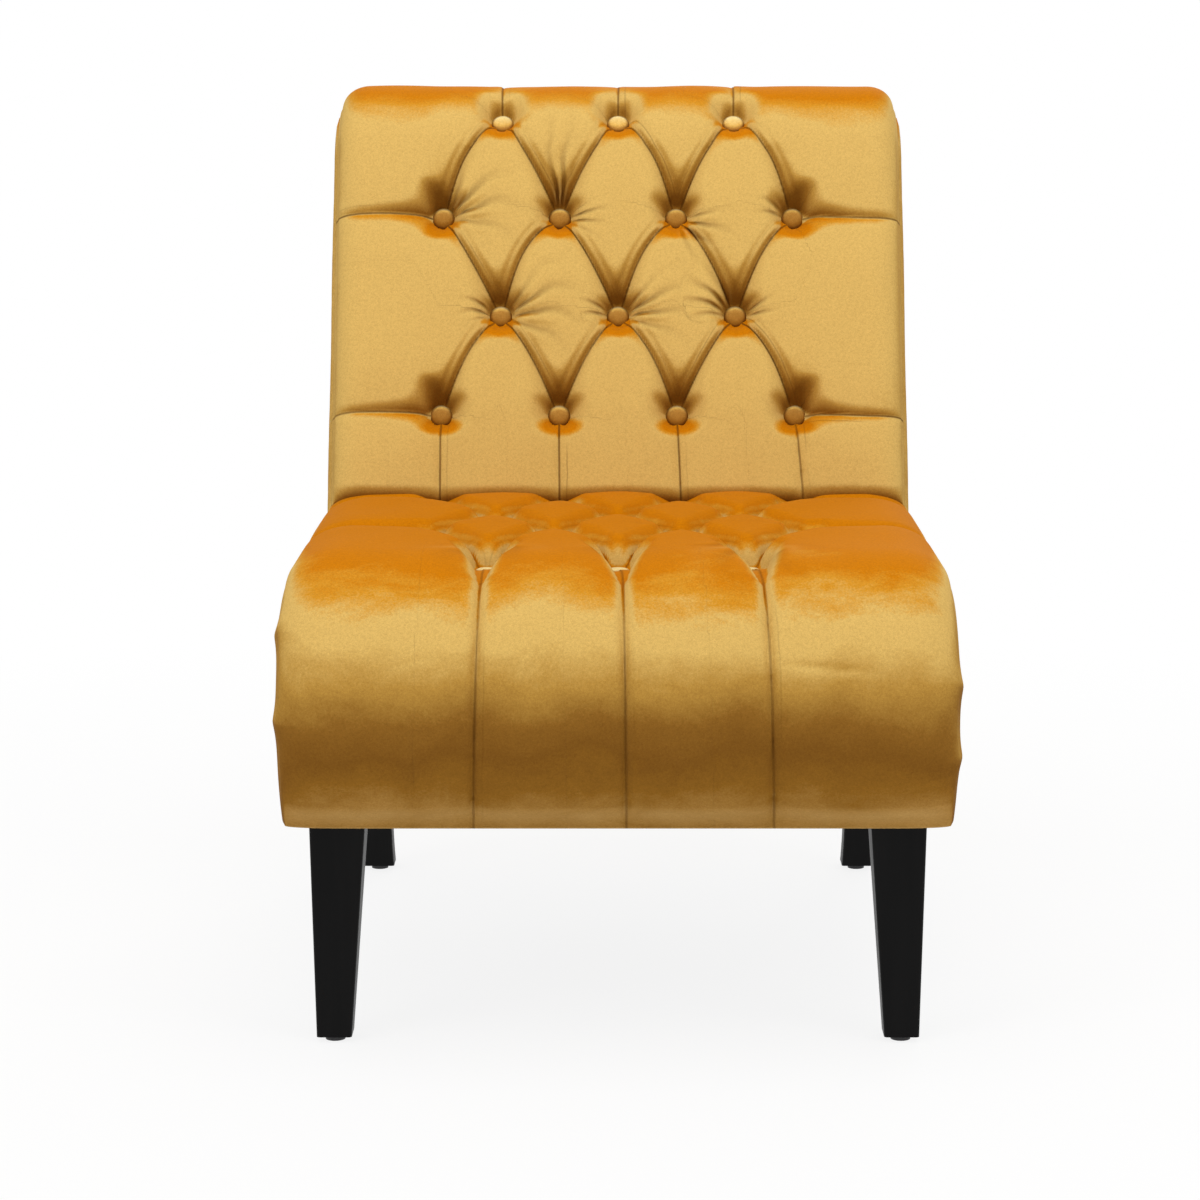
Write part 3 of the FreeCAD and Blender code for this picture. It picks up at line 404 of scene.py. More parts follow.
def velvet(name, stops, patch=0.16, line=0.0, shading_shift=None, shaded_rim=False):
    """Pile whose colour is painted shading that follows which way it faces: deep orange where it
    faces up, pale where it faces out and bronze below.

    Where the shading shift gives two Y places and a strength, the painted shading behind the second
    place is pushed warmer.
    A line gives the painted shade in the pleats' folds its strength; a button with a shaded rim has
    painted shade where its cloth is gathered.
    """
    f = Finish(
        name, Specular_IOR_Level=0.04, Sheen_Weight=0.05, Sheen_Roughness=0.4,
        Sheen_Tint=SHEEN_TINT,
    )
    # Painted shading: the colour follows which way the surface faces, with random patches in it.
    facing = f.axis("Z", f.add("ShaderNodeNewGeometry", {}).outputs["Normal"])
    nap = (f.noise(NAP_PATCHES, 4.0, 0.6, distortion=0.9) - 0.5) * (patch * 1.3)
    brushed = (f.noise(BRUSH_MARKS, 5.0, 0.7, f.moved(BRUSH_LIE), 0.6) - 0.5) * patch
    tips = (f.noise(PILE_TIPS, 2.0, 0.7) - 0.5) * TIP_TURN
    turned = facing + nap + brushed + tips
    # The painted shading is pushed warmer behind the second Y place.
    if shading_shift:
        start, full, warmth = shading_shift
        turned = turned + ((f.axis("Y") - start) / (full - start)).clipped() * warmth
    # Painted shade above the buttons and painted light below them.
    if line:
        turned = turned + f.mark("nap_turn")
    tone = f.ramp(turned * 0.5 + 0.5, stops)
    if line:
        tone, relief = drawn_folds(f, tone, line)
    grain = f.noise(PILE_GRAIN, 2.0, 0.6)
    weave = f.noise(WEAVE, 3.0, 0.75)
    flecked = f.mixed(0.4, tone, f.ramp(grain, GRAIN_SHADE), "MULTIPLY")
    flecked = f.mixed(0.45, flecked, f.ramp(weave, WEAVE_SHADE), "MULTIPLY")
    pile = f.bump(grain * 0.5 + weave * 0.5, 0.0006, 0.5)
    rumpled = f.bump(f.noise(RUMPLES, 3.0, 0.5), 0.0010, 0.35, pile)
    if line:
        rumpled = f.bump(relief, 0.0012, 1.0, rumpled)
    # Painted shade where the button's cloth is gathered in at its rim, and on its underside.
    if shaded_rim:
        gathered = ((f.mark("rim") - RIM_START) * 5).clipped() * 0.75
        flecked = f.mixed(gathered, flecked, FOLD_SHADE_BROWN)
    return f.finish(Base_Color=flecked, Roughness=0.72 + grain * 0.2, Normal=rumpled)


# Each ramp paints light and shade by which way the surface faces. The seat's lowest stops are
# lighter again as a painted reflection of the floor on the tucked-in front. The shading shifts warm
# the seat's top behind the front roll and brighten the buttons at the top of the back.
seat_velvet = velvet("seat_velvet", [
    (0.02, linear(206, 164, 96)), (0.14, linear(184, 140, 72)), (0.25, BRONZE),
    (0.35, linear(134, 90, 30)), (0.46, linear(148, 103, 38)), (0.60, MID_GOLD),
    (0.73, PALE_GOLD), (0.83, PALE_GOLD), (0.90, WARM_GOLD), (0.96, ORANGE_GOLD),
], patch=0.32, line=0.42, shading_shift=(-0.25, -0.17, 0.20))
back_velvet = velvet("back_velvet", [
    (0.20, DARK_BRONZE), (0.36, BRONZE), (0.50, MID_GOLD), (0.62, PALE_GOLD), (0.78, PALE_GOLD),
    (0.87, WARM_GOLD), (0.95, ORANGE_GOLD),
], patch=0.20, line=0.85)
side_velvet = velvet("side_velvet", [
    (0.25, DARK_BRONZE), (0.50, linear(186, 138, 58)), (0.75, PALE_GOLD), (0.95, ORANGE_GOLD),
], patch=0.30)
button_velvet = velvet("button_velvet", [
    (0.40, DARK_BRONZE), (0.60, linear(160, 108, 36)), (0.76, linear(192, 142, 66)),
    (0.84, linear(236, 192, 100)), (0.96, linear(248, 226, 160)),
], shading_shift=(0.232, 0.255, 0.08), shaded_rim=True)


def lacquer():
    """Black lacquer over wood whose grain runs up the leg."""
    f = Finish("black_lacquer", Specular_IOR_Level=0.10)
    grain = f.noise(60.0, 5.0, 0.6, f.moved((1.0, 1.0, 0.06)))
    haze = f.noise(14.0, 3.0)
    tone = f.ramp(grain, [(0.3, linear(4, 4, 4)), (0.8, linear(11, 10, 10))])
    return f.finish(
        Base_Color=tone, Roughness=0.34 + haze * 0.2, Coat_Weight=haze * 0.04,
        Normal=f.bump(grain, 0.0003, 0.5),
    )


def wood(name, dark, light, layers=0.0):
    """Wood with its grain along Y, and glued layers across X where a number of them is given."""
    f = Finish(name)
    grain = f.noise(42.0, 6.0, 0.6, f.moved((1.0, 0.10, 1.0)), 0.6)
    rings = (grain * 38.0).sine() * 0.5 + 0.5
    tone = f.ramp(rings * 0.35 + grain * 0.6, [(0.2, dark), (0.75, light)])
    if layers:
        plies = (f.axis("X") * layers).sine() * 0.5 + 0.5
        tone = f.mixed(plies * 0.5, tone, dark)
    relief = f.bump(rings, 0.0003, 0.4)
    return f.finish(Base_Color=tone, Roughness=0.55 + grain * 0.3, Normal=relief)


def woven(name, dark, light, threads, roughness=0.9):
    """Plain weave in the X and the Y or Z direction."""
    f = Finish(name)
    across = (f.axis("X") * threads).sine()
    along = ((f.axis("Y") + f.axis("Z")) * threads).sine()
    weave = (across * along) * 0.5 + 0.5
    slub = f.noise(120.0, 3.0)
    tone = f.ramp(weave * 0.7 + slub * 0.3, [(0.2, dark), (0.8, light)])
    relief = f.bump(weave + slub * 0.4, 0.0006, 0.7)
    return f.finish(Base_Color=tone, Roughness=roughness - slub * 0.1, Normal=relief)


def moulded(name, dark, light, scale, depth, roughness=0.5, metallic=0.0):
    """Fine-grained plastic, card or metal with slow wear."""
    f = Finish(name, Metallic=metallic)
    fine = f.noise(scale, 4.0, 0.6)
    wear = f.noise(scale * 0.08, 3.0)
    tone = f.ramp(fine * 0.5 + wear * 0.5, [(0.3, dark), (0.7, light)])
    relief = f.bump(fine, depth, 0.6)
    return f.finish(Base_Color=tone, Roughness=roughness + wear * 0.25, Normal=relief)


NODE_FINISHES = (
    (lacquer(), ["front_leg_left", "front_leg_right", "rear_leg_left", "rear_leg_right"]),
    (
        moulded("glide_plastic", linear(24, 24, 25), linear(44, 44, 46), 800.0, 0.0001, 0.4),
        [
            "front_leg_glide_left", "front_leg_glide_right", "rear_leg_glide_left",
            "rear_leg_glide_right",
        ],
    ),
    (
        wood("plywood", linear(170, 125, 78), linear(214, 176, 124), 1400.0),
        ["side_frame_left", "side_frame_right"],
    ),
    (
        wood("hardwood", linear(150, 104, 60), linear(198, 150, 98)),
        [
            "front_rail", "rear_rail", "lower_back_rail", "top_back_rail", "roll_rail",
            "corner_blocks",
        ],
    ),
    (
        woven("webbing", linear(48, 44, 38), linear(132, 120, 98), 1900.0),
        ["seat_webbing_long", "seat_webbing_cross", "back_webbing_long", "back_webbing_cross"],
    ),
    (
        woven("burlap", linear(120, 92, 56), linear(188, 156, 108), 2600.0),
        ["seat_burlap", "back_burlap"],
    ),
    (
        moulded("washer_plastic", linear(208, 208, 204), linear(232, 232, 228), 700.0, 0.0001),
        ["seat_washers", "back_washers"],
    ),
    (
        moulded("tack_card", linear(150, 134, 108), linear(182, 166, 138), 420.0, 0.0002, 0.75),
        ["tack_strip"],
    ),
    (woven("dust_cloth", linear(12, 12, 13), linear(36, 36, 38), 3800.0), ["dust_cover"]),
    (
        moulded("steel", linear(128, 130, 134), linear(196, 198, 202), 900.0, 0.00005, 0.25, 1.0),
        ["leg_bolts", "glide_nails", "frame_screws"],
    ),
    (
        woven("waxed_twine", linear(120, 90, 40), linear(205, 168, 96), 5200.0, 0.7),
        ["seat_twines", "back_twines"],
    ),
    (
        button_velvet,
        ["seat_welt_left", "seat_welt_right", "back_welt_left", "back_welt_right"],
    ),
)
for material, names in NODE_FINISHES:
    for name in names:
        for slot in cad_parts[name].material_slots:
            slot.link = "OBJECT"
            slot.material = material


# Tufted pads

GRID_STEP = 0.0019
OUTSIDE_STEP = 0.006
PUFF_CROWN = 0.004
BUTTON_HOLD = 0.024
PLEAT_REACH = (0.030, 0.030)

# The distance over which neighbouring pleats and buttons blend, and the offset that stands for
# no pleat near
SOFTNESS = 0.004
NO_FOLD = 0.05

# A pleat bends most past its middle. Its trough widens towards its button, and the step beside
# it fades out at both ends.
BOW_POWER = 1.25
TROUGH_LENGTH = 0.110
TROUGH_POWER = 0.55
STEP_WIDTH = 0.018
STEP_FADE = 0.03

# The cloth rises over at least this distance, and over more from a deeper pleat
LEAST_RISE = 0.005
DEPTH_POWER = 0.85
RISE_POWER = 0.72
CROWN_REACH = 0.05

# The lip on one side of a pleat: the places and half widths of its ridge and of the dip behind
LIP_HEIGHT = 0.0008
LIP_RIDGE = (0.0040, 0.0018)
LIP_DIP = (0.0085, 0.0019)
LIP_DIP_SHARE = 1.1


def crease(
    x0, s0, x1, s1, deep, start=0.0, end=0.0, bow=0.0, lip=0.0, trough=0.0, step=0.0,
    reach=PLEAT_REACH,
):
    """A pleat from one place on the pad to another, pulled down over a length by its ends' buttons.

    The cloth rises beside it over the reach, given for its start and its end. A trough widens it
    towards the button at its end, and a step lifts the cloth on one side of it.
    """
    return {
        "from": (x0, s0), "to": (x1, s1), "deep": deep, "held": (start, end), "bow": bow,
        "lip": lip, "trough": trough, "step": step, "reach": reach,
    }


def diamonds(rows, deep, bows, start, end, reach):
    """The pleats between the buttons of neighbouring rows."""
    made = []
    places = list(rows.values())
    for (here, near), (there, far) in zip(places, places[1:]):
        for x, other in ((x, other) for x in near for other in far):
            if abs(x - other) < BUTTON_PITCH * 0.6:
                bow = math.copysign(bows[len(made) % len(bows)], x - other)
                lip = math.copysign(1, bow)
                made.append(
                    crease(x, here, other, there, deep, start, end, bow, lip, reach=reach)
                )
    return made


def outward(rows, letters, to_x, rise, deep, bow=0.0):
    """The pleats that run out to the pad's sides from a row's end buttons."""
    return [
        crease(
            side * 1.5 * BUTTON_PITCH, rows[letter][0], side * to_x, rows[letter][0] + rise,
            deep, BUTTON_HOLD, bow=bow,
        )
        for letter in letters for side in (-1, 1)
    ]


def bell(offset, place_and_width):
    place, width = place_and_width
    return np.exp(-((offset - place) / width) ** 2)


def pad_heights(x, s, creases, rows, top, crown, button_reach, sag):
    """Levels of a tufted surface above its line, and each place's offset from the nearest pleat.

    The cloth rises over the reach from a pleat; by the sag it rises later above a button.
    """
    deepest = np.max(top) + np.max(crown)
    steps = np.zeros_like(x)
    fold = np.full_like(x, NO_FOLD)
    weights = np.zeros_like(x)
    floors = np.zeros_like(x)
    reaches = np.zeros_like(x)
    lips = np.zeros_like(x)

    def hold_down(distance, floor, rise_over, lip):
        weight = np.exp(-distance / SOFTNESS)
        np.add(weights, weight, out=weights)
        np.add(floors, weight * floor, out=floors)
        np.add(reaches, weight * rise_over, out=reaches)
        np.add(lips, weight * lip, out=lips)

    for c in creases:
        (x0, s0), (x1, s1) = c["from"], c["to"]
        long = math.hypot(x1 - x0, s1 - s0)
        ux, us = (x1 - x0) / long, (s1 - s0) / long
        along = (x - x0) * ux + (s - s0) * us
        inside = np.clip(along, 0, long)
        bowed = c["bow"] * np.sin(math.pi * (inside / long) ** BOW_POWER)
        off = (x - x0) * us - (s - s0) * ux - bowed
        distance = np.hypot(off, along - inside)
        signed = np.where(off < 0, -distance, distance) * math.copysign(1, c["lip"])
        fold = np.where(distance < np.abs(fold), signed, fold)
        fade = np.clip(inside / STEP_FADE, 0, 1) * np.clip((long - inside) / STEP_FADE, 0, 1)
        steps += c["step"] * np.sign(off) * np.exp(-np.abs(off) / STEP_WIDTH) * fade
        near = np.clip(1 - (long - inside) / TROUGH_LENGTH, 0, 1)
        distance = np.maximum(0, distance - c["trough"] * near ** TROUGH_POWER)
        start, end = c["held"]
        hold = np.exp(-inside / start) if start else 0.0
        hold = hold + (np.exp((inside - long) / end) if end else 0.0)
        groove = np.clip(c["deep"] + (top - c["deep"]) * hold, 0, top)
        first, last = c["reach"]
        reach = first + (last - first) * inside / long
        rise_over = LEAST_RISE + reach * np.clip(groove / deepest, 0, 1) ** DEPTH_POWER
        ridge = bell(distance, LIP_RIDGE) - LIP_DIP_SHARE * bell(distance, LIP_DIP)
        lip = abs(c["lip"]) * (off * c["lip"] > 0) * ridge
        hold_down(distance, top - groove, rise_over, lip)
    for s0, places in rows.values():
        for x0 in places:
            away = np.hypot(x - x0, s - s0)
            above = (s - s0) / np.maximum(away, 0.001)
            rise_over = LEAST_RISE + button_reach + sag * np.clip(above, 0, 1) ** 2
            hold_down(np.maximum(0, away - BUTTON_RADIUS * 0.8), 0.0, rise_over, 0.0)
    nearest = np.maximum(0, -SOFTNESS * np.log(weights))
    floor = floors / weights
    share = np.clip(nearest / (reaches / weights), 0, 1)
    share = np.sin(math.pi / 2 * share) ** RISE_POWER
    bulge = crown * np.sin(math.pi / 2 * np.clip(nearest / CROWN_REACH, 0, 1))
    return floor + (top - floor) * share + bulge + LIP_HEIGHT * lips / weights + steps, fold


def shade_around_buttons(x, s, rows):
    """How far the colour ramp is turned: painted shade in the slack above a button, and painted
    light in the pull below it.
    """
    turn = np.zeros_like(x)
    for distance, places in rows.values():
        for place in places:
            up = np.maximum(0, s - distance)
            down = np.maximum(0, distance - s)
            aside = np.abs(x - place)
            slack = np.exp(-((up / 0.056) ** 2) - (aside / (0.010 + 0.45 * up)) ** 2)
            pull = np.exp(-((down / 0.019) ** 2) - (aside / (0.012 + 0.45 * down)) ** 2)
            turn += np.where(s > distance, -0.28 * slack, 0.50 * pull)
    return turn


# A fan starts this far from its button's middle, and comes in over this length
FAN_START = 0.012
FAN_FADE_IN = 0.008


def fans(x, s, wrinkles):
    """Fine folds that run out from a button: place, direction, spread, folds, reach and height.

    Gives their rise, and the phase and strength from which the material paints shade in their
    valleys and light on their crests.
    """
    rise = np.zeros_like(x)
    phases = np.zeros_like(x)
    strength = np.zeros_like(x)
    for x0, s0, direction, spread, count, reach, height in wrinkles:
        across, up = x - x0, s - s0
        radius = np.hypot(across, up)
        turn = np.arctan2(up, across) - math.radians(direction)
        turn = (turn + math.pi) % (2 * math.pi) - math.pi
        share = turn / math.radians(spread)
        gate = np.exp(-(share * 1.5) ** 4) * np.clip((radius - FAN_START) / FAN_FADE_IN, 0, 1)
        fade = np.exp(-((radius - FAN_START) / reach) ** 2)
        phase = share * math.pi * count + np.sin(90 * radius)
        rise += height * gate * fade * np.sin(phase)
        phases = np.where(gate * fade > strength, phase, phases)
        strength = np.maximum(strength, gate * fade)
    return rise, phases, strength


def uneven(x, s, height):
    """Slow rises and hollows of hand-filled upholstery."""
    broad = np.sin(31 * x + 17 * s + 0.7) * np.sin(23 * s - 11 * x + 1.9)
    return height * (broad + 0.6 * np.sin(61 * x - 43 * s + 2.6))


# The faces down a cross-section's side, and the places under it where it steps in
SIDE_FACES = 9
UNDER_INSETS = (0.012, 0.03)


def cross_columns(half, shoulder, bulge, under, spacing=GRID_STEP):
    """Around a pad's cross-section from the middle of its underside: place, fall and side share."""
    flat = half - shoulder
    count = round(2 * flat / spacing)
    turn = round(1.25 * shoulder / spacing)
    quarter = math.pi / 2
    right = [
        (flat + shoulder * math.sin(quarter * k / turn), math.cos(quarter * k / turn), 0.0)
        for k in range(1, turn + 1)
    ]
    right += [
        (half + bulge * math.sin(math.pi * k / SIDE_FACES), 0.0, k / SIDE_FACES)
        for k in range(1, SIDE_FACES + 1)
    ]
    right += [
        (half - UNDER_INSETS[0], 0.0, 1.0), (half - UNDER_INSETS[1], 0.0, under),
        (half * 0.5, 0.0, under),
    ]
    top = [(-flat + 2 * flat * k / count, 1.0, 0.0) for k in range(count + 1)]
    left = [(-x, fall, share) for x, fall, share in reversed(right)]
    return left + top + right


def meshed(name, form):
    """A mesh from a closed bmesh, with its faces outwards."""
    bmesh.ops.recalc_face_normals(form, faces=form.faces)
    mesh = bpy.data.meshes.new(name)
    form.to_mesh(mesh)
    form.free()
    return mesh


def piece(mesh, *replaced, slot, material):
    """A finished mesh object that rides on the frame and stands for its nodes."""
    made = bpy.data.objects.new(mesh.name, mesh)
    bpy.context.scene.collection.objects.link(made)
    mesh.materials.append(material)
    for polygon in mesh.polygons:
        polygon.use_smooth = True
    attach(made, "root")
    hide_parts(*replaced)
    return made


# What the material reads at each point of a pad, from which it paints shade in the folds and the
# wrinkles' valleys, light on the wrinkles' crests, and shade above and light below the buttons
MARKS = ("fold_offset", "fan_phase", "fan_strength", "nap_turn")


def pad_mesh(name, route, columns, start, levels, drop, edge, nudge=None, spacing=GRID_STEP):
    """A closed pad: a grid wrapped round its cross-section and walked along the side-view line."""
    end = route.length()
    count = round((end - start) / spacing)
    wrap = len(columns)
    form = bmesh.new()
    bmesh.ops.create_grid(form, x_segments=wrap, y_segments=count, size=0.5)
    form.verts.ensure_lookup_table()
    spot = np.array([(v.co.x, v.co.y) for v in form.verts])
    column = np.rint((spot[:, 0] + 0.5) * wrap).astype(int) % wrap
    row = np.rint((spot[:, 1] + 0.5) * count).astype(int)
    x, fall, share = np.array(columns)[column].T
    s = start + (end - start) * row / count
    edges = edge(s)
    raised, *marks = levels(x, s)
    level = edges + (raised - edges) * fall
    level = level * (1 - share) + share * -drop
    if nudge is not None:
        x = x + np.sign(x) * nudge(x, s) * (1 - fall) * np.clip(1.2 - share, 0, 1)
    places = np.array([route.place(start + (end - start) * k / count) for k in range(count + 1)])
    y, z, heading = places[row].T
    angle = np.radians(heading)
    y = y - level * np.sin(angle)
    z = z + level * np.cos(angle)
    layers = [form.verts.layers.float.new(mark) for mark in MARKS]
    for vertex, place, *values in zip(form.verts, np.stack((x, y, z), 1), *marks):
        vertex.co = place
        for layer, value in zip(layers, values):
            vertex[layer] = value
    bmesh.ops.remove_doubles(form, verts=form.verts, dist=0.00002)
    bmesh.ops.holes_fill(form, edges=[e for e in form.edges if e.is_boundary], sides=0)
    return meshed(name, form)


# Seat: three pleats run down the front from row E, four run on behind row H

SEAT_BOWS = (0.003, 0.002, 0.004, 0.003, 0.002, 0.004)
FRONT_FEET = (-0.122, 0.0075, 0.132)
PLEAT_OVERRUN = 0.02
seat_creases = diamonds(SEAT_ROWS, 0.017, SEAT_BOWS, 0.012, 0.045, (0.011, 0.034))
for x, foot in zip(SEAT_ROWS["e"][1], FRONT_FEET):
    seat_creases.append(
        crease(
            foot, -PLEAT_OVERRUN, x, ROW_E, 0.0020, end=0.090, bow=0.002, trough=0.0135,
            step=0.0005, reach=(0.012, 0.022),
        )
    )
for x in SEAT_ROWS["h"][1]:
    seat_creases.append(crease(x, ROW_H, x, SEAT.length() + PLEAT_OVERRUN, 0.008, BUTTON_HOLD))
seat_creases += outward(SEAT_ROWS, "fh", 0.30, 0.004, 0.014)

SEAT_FANS = (
    (-BUTTON_PITCH, ROW_E, -90, 60, 3, 0.05, 0.0010),
    (0.0, ROW_E, -90, 50, 2, 0.04, 0.0008),
    (BUTTON_PITCH, ROW_E, -90, 60, 4, 0.06, 0.0013),
)
HEM_LEVEL = 0.003
HEM_REACH = 0.035
FRONT_SWELL_END = 0.013

# A fine wrinkle across the front at the right: where it starts and ends, and its line
WRINKLE_ENDS = (0.125, 0.22)
WRINKLE_PLACE = (0.13, 0.145)
WRINKLE_SLOPE = 0.07
WRINKLE_HALF = 0.0028

# Small folds that stand out at the sides of the front: distances at the left and at the right
SIDE_FOLDS = ((0.104, 0.073), (0.179, 0.1335))
SIDE_FOLD_HEIGHT = 0.0034
SIDE_FOLD_HALF = 0.013


def smooth(share):
    return share * share * (3 - 2 * share)


def seat_full(s):
    """The height of a full puff, which swells from the hem and sinks a little at the rear."""
    share = np.clip(s / (ROW_E - FRONT_SWELL_END), 0, 1)
    swell = np.sin(math.pi / 2 * np.minimum(1, 1.7 * share)) ** 0.8
    rear = np.clip((s - ROW_H) / (SEAT.length() - ROW_H), 0, 1)
    return (SEAT_PUFF + 0.001) * (0.15 + 0.85 * swell) * (1 - 0.06 * rear)


def seat_levels(x, s):
    top = seat_full(s) - PUFF_CROWN
    level, fold = pad_heights(x, s, seat_creases, SEAT_ROWS, top, PUFF_CROWN, 0.008, 0.016)
    line_x, line_s = WRINKLE_PLACE
    begin, stop = WRINKLE_ENDS
    wrinkle = np.exp(-((s - line_s + WRINKLE_SLOPE * (x - line_x)) / WRINKLE_HALF) ** 2)
    wrinkle = wrinkle * np.clip((x - begin) * 40, 0, 1)
    rise, phase, strength = fans(x, s, SEAT_FANS)
    level += rise + uneven(x, s, 0.0006) - 0.0005 * wrinkle * np.clip((stop - x) * 30, 0, 1)
    hem = smooth(np.clip(s / HEM_REACH, 0, 1))
    return HEM_LEVEL + (level - HEM_LEVEL) * hem, fold, phase, strength, np.zeros_like(x)


def seat_side_folds(x, s):
    places = [np.where(x < 0, left, right) for left, right in SIDE_FOLDS]
    return sum(
        SIDE_FOLD_HEIGHT * np.exp(-(np.abs(s - place) / SIDE_FOLD_HALF) ** 1.4)
        for place in places
    )


def seat_edge(s):
    """The level of the cover's edge at the sides, lower towards the hem."""
    return 0.006 - 0.006 * np.clip(1 - s / 0.05, 0, 1)


seat_columns = cross_columns(SEAT_HALF, 0.046, 0.003, 1.9)
seat_pad = piece(
    pad_mesh(
        "seat_pad", SEAT, seat_columns, 0.0, seat_levels, SIDE_DROP, seat_edge, seat_side_folds
    ),
    "seat_cover", "seat_foam", slot="gold_velvet", material=seat_velvet,
)


# Back: its lower end is rounded and goes down behind the seat. Four pleats run down from row D,
# and three run up over the rolled top from row A.

BACK_BOWS = (
    0.007, 0.004, 0.005, 0.007, 0.003, 0.008, 0.001, 0.011, 0.003, 0.009, 0.005, 0.007,
    0.011, 0.002, 0.004, 0.010, 0.006, 0.011,
)
LOWER_DRIFTS = (0.0, 0.001, 0.004, 0.008)
UPPER_DRIFTS = (-0.004, 0.002, 0.003)
UPPER_STEPS = (-0.0007, 0.0005, 0.0009)
back_creases = diamonds(BACK_ROWS, 0.0038, BACK_BOWS, 0.034, 0.010, (0.030, 0.016))
for x, drift in zip(BACK_ROWS["d"][1], LOWER_DRIFTS):
    back_creases.append(
        crease(x + drift, -PLEAT_OVERRUN, x, ROW_D, 0.003, end=0.012, step=0.0006)
    )
for x, drift, step in zip(BACK_ROWS["a"][1], UPPER_DRIFTS, UPPER_STEPS):
    over_top = BACK.length() + PLEAT_OVERRUN
    back_creases.append(crease(x, ROW_A, x + drift, over_top, 0.0004, 0.020, step=step))
back_creases += outward(BACK_ROWS, "db", 0.29, -0.004, 0.0020, bow=0.002)

b1, b2, b3, b4 = ((x, BACK_ROWS["b"][0]) for x in BACK_ROWS["b"][1])
c1, c2, c3 = ((x, BACK_ROWS["c"][0]) for x in BACK_ROWS["c"][1])
BACK_FANS = (
    (*b1, 20, 70, 5, 0.040, 0.0014),
    (*b2, 90, 22, 3, 0.050, 0.0009),
    (*b2, -8, 40, 4, 0.022, 0.0004),
    (*b3, -38, 60, 5, 0.030, 0.0007),
    (*b4, 165, 40, 3, 0.016, 0.0003),
    (*c1, 6, 64, 5, 0.044, 0.0011),
    (*c1, 168, 44, 4, 0.018, 0.0004),
    (*c2, 6, 56, 5, 0.038, 0.0011),
    (*c2, 172, 36, 3, 0.018, 0.0004),
    (*c3, 150, 60, 5, 0.030, 0.0009),
    (*c3, 10, 44, 4, 0.018, 0.0004),
)
BACK_FOOT = -0.012
ROUNDED_TO = 0.006


def back_full(s, over):
    """The height of a full puff, lower at the foot, over the top and down the scroll."""
    low = np.clip(s / ROW_D, 0, 1)
    rolled = TOP_PUFF + (BACK_PUFF - TOP_PUFF) * (1 - smooth(over))
    full = np.where(over > 0, rolled, BACK_PUFF * (0.80 + 0.20 * low))
    return full - 0.003 * np.clip((s - BACK_APEX) * 10, 0, 1)


def back_levels(x, s):
    over = np.clip((s - ROW_A) / (BACK_APEX - ROW_A), 0, 1)
    crown = PUFF_CROWN * (1 - 0.8 * over)
    top = back_full(s, over) - crown
    level, fold = pad_heights(x, s, back_creases, BACK_ROWS, top, crown, 0.016, 0.030)
    rise, phase, strength = fans(x, s, BACK_FANS)
    level += rise + uneven(x, s, 0.0006)
    lower = np.clip((ROUNDED_TO - s) / (ROUNDED_TO - BACK_FOOT), 0, 1)
    return level * np.sqrt(1 - lower ** 2), fold, phase, strength, shade_around_buttons(x, s, BACK_ROWS)


def back_edge(s):
    """The level of the cover's edge at the sides, lower over the rolled top."""
    return 0.006 - 0.018 * np.clip((s - 0.36) / 0.10, 0, 1)


back_columns = cross_columns(BACK_HALF, 0.026, 0.003, 1.6)
back_pad = piece(
    pad_mesh("back_pad", BACK, back_columns, BACK_FOOT, back_levels, SIDE_DROP, back_edge),
    "back_cover", "back_foam", slot="gold_velvet", material=back_velvet,
)


# Covered buttons

GATHERS = 17
GATHER_DEPTH = 0.016
RIM_POWER = 0.62
RIM_SHARE = 0.36


def button_mesh(name, route, distance, places):
    """Round crowns with the cloth gathered in at the rim."""
    form = bmesh.new()
    rim = form.verts.layers.float.new("rim")
    for x in places:
        ring = bmesh.ops.create_uvsphere(form, u_segments=40, v_segments=20, radius=1.0)["verts"]
        base = route.point(x, distance, 0)
        outwards = route.point(x, distance, 1) - base
        turn = outwards.to_track_quat("Z", "Y").to_matrix()
        for vertex in ring:
            across = math.hypot(vertex.co.x, vertex.co.y)
            angle = math.atan2(vertex.co.y, vertex.co.x)
            outer = max(0.0, across - 0.75) / 0.25
            gather = 1 + GATHER_DEPTH * math.sin(GATHERS * angle) * outer
            wide = BUTTON_RADIUS * gather * across ** RIM_POWER
            up = vertex.co.z
            if up > 0:
                high = BUTTON_DOME * (RIM_SHARE + (1 - RIM_SHARE) * abs(up) ** 1.5)
            else:
                high = BUTTON_DOME * RIM_SHARE * (1 + up)
            local = Vector((wide * math.cos(angle), wide * math.sin(angle), high))
            vertex.co = base + turn @ local
            # The rim mark, from which the material paints shade at the gathers, full on the
            # underside.
            vertex[rim] = across ** RIM_POWER if up > 0 else 1.0
    return meshed(name, form)


for route, part, rows in ((SEAT, "seat", SEAT_ROWS), (BACK, "back", BACK_ROWS)):
    for letter, (distance, places) in rows.items():
        piece(
            button_mesh(f"{part}_covered_buttons_{letter}", route, distance, places),
            f"{part}_buttons_row_{letter}", slot="button_velvet", material=button_velvet,
        )


# Plain sides and outside back

OUTLINE_STEP = 0.008
PANEL_DEPTH = 0.006
PANEL_STEP = 0.010
PANEL_CUTS = ((1, -0.38, 0.40), (2, 0.19, 0.80))


def side_outline():
    """The side view inside the covers' turned-down edges."""
    level = -(SIDE_DROP + SEAM)
    foot = Vector((0, SEAT.point(0, 0, level).y, LEG_HEIGHT))
    return [
        foot, *SEAT.line(level, OUTLINE_STEP), *BACK.line(level, OUTLINE_STEP),
        *OUTSIDE.line(0, OUTLINE_STEP),
    ]


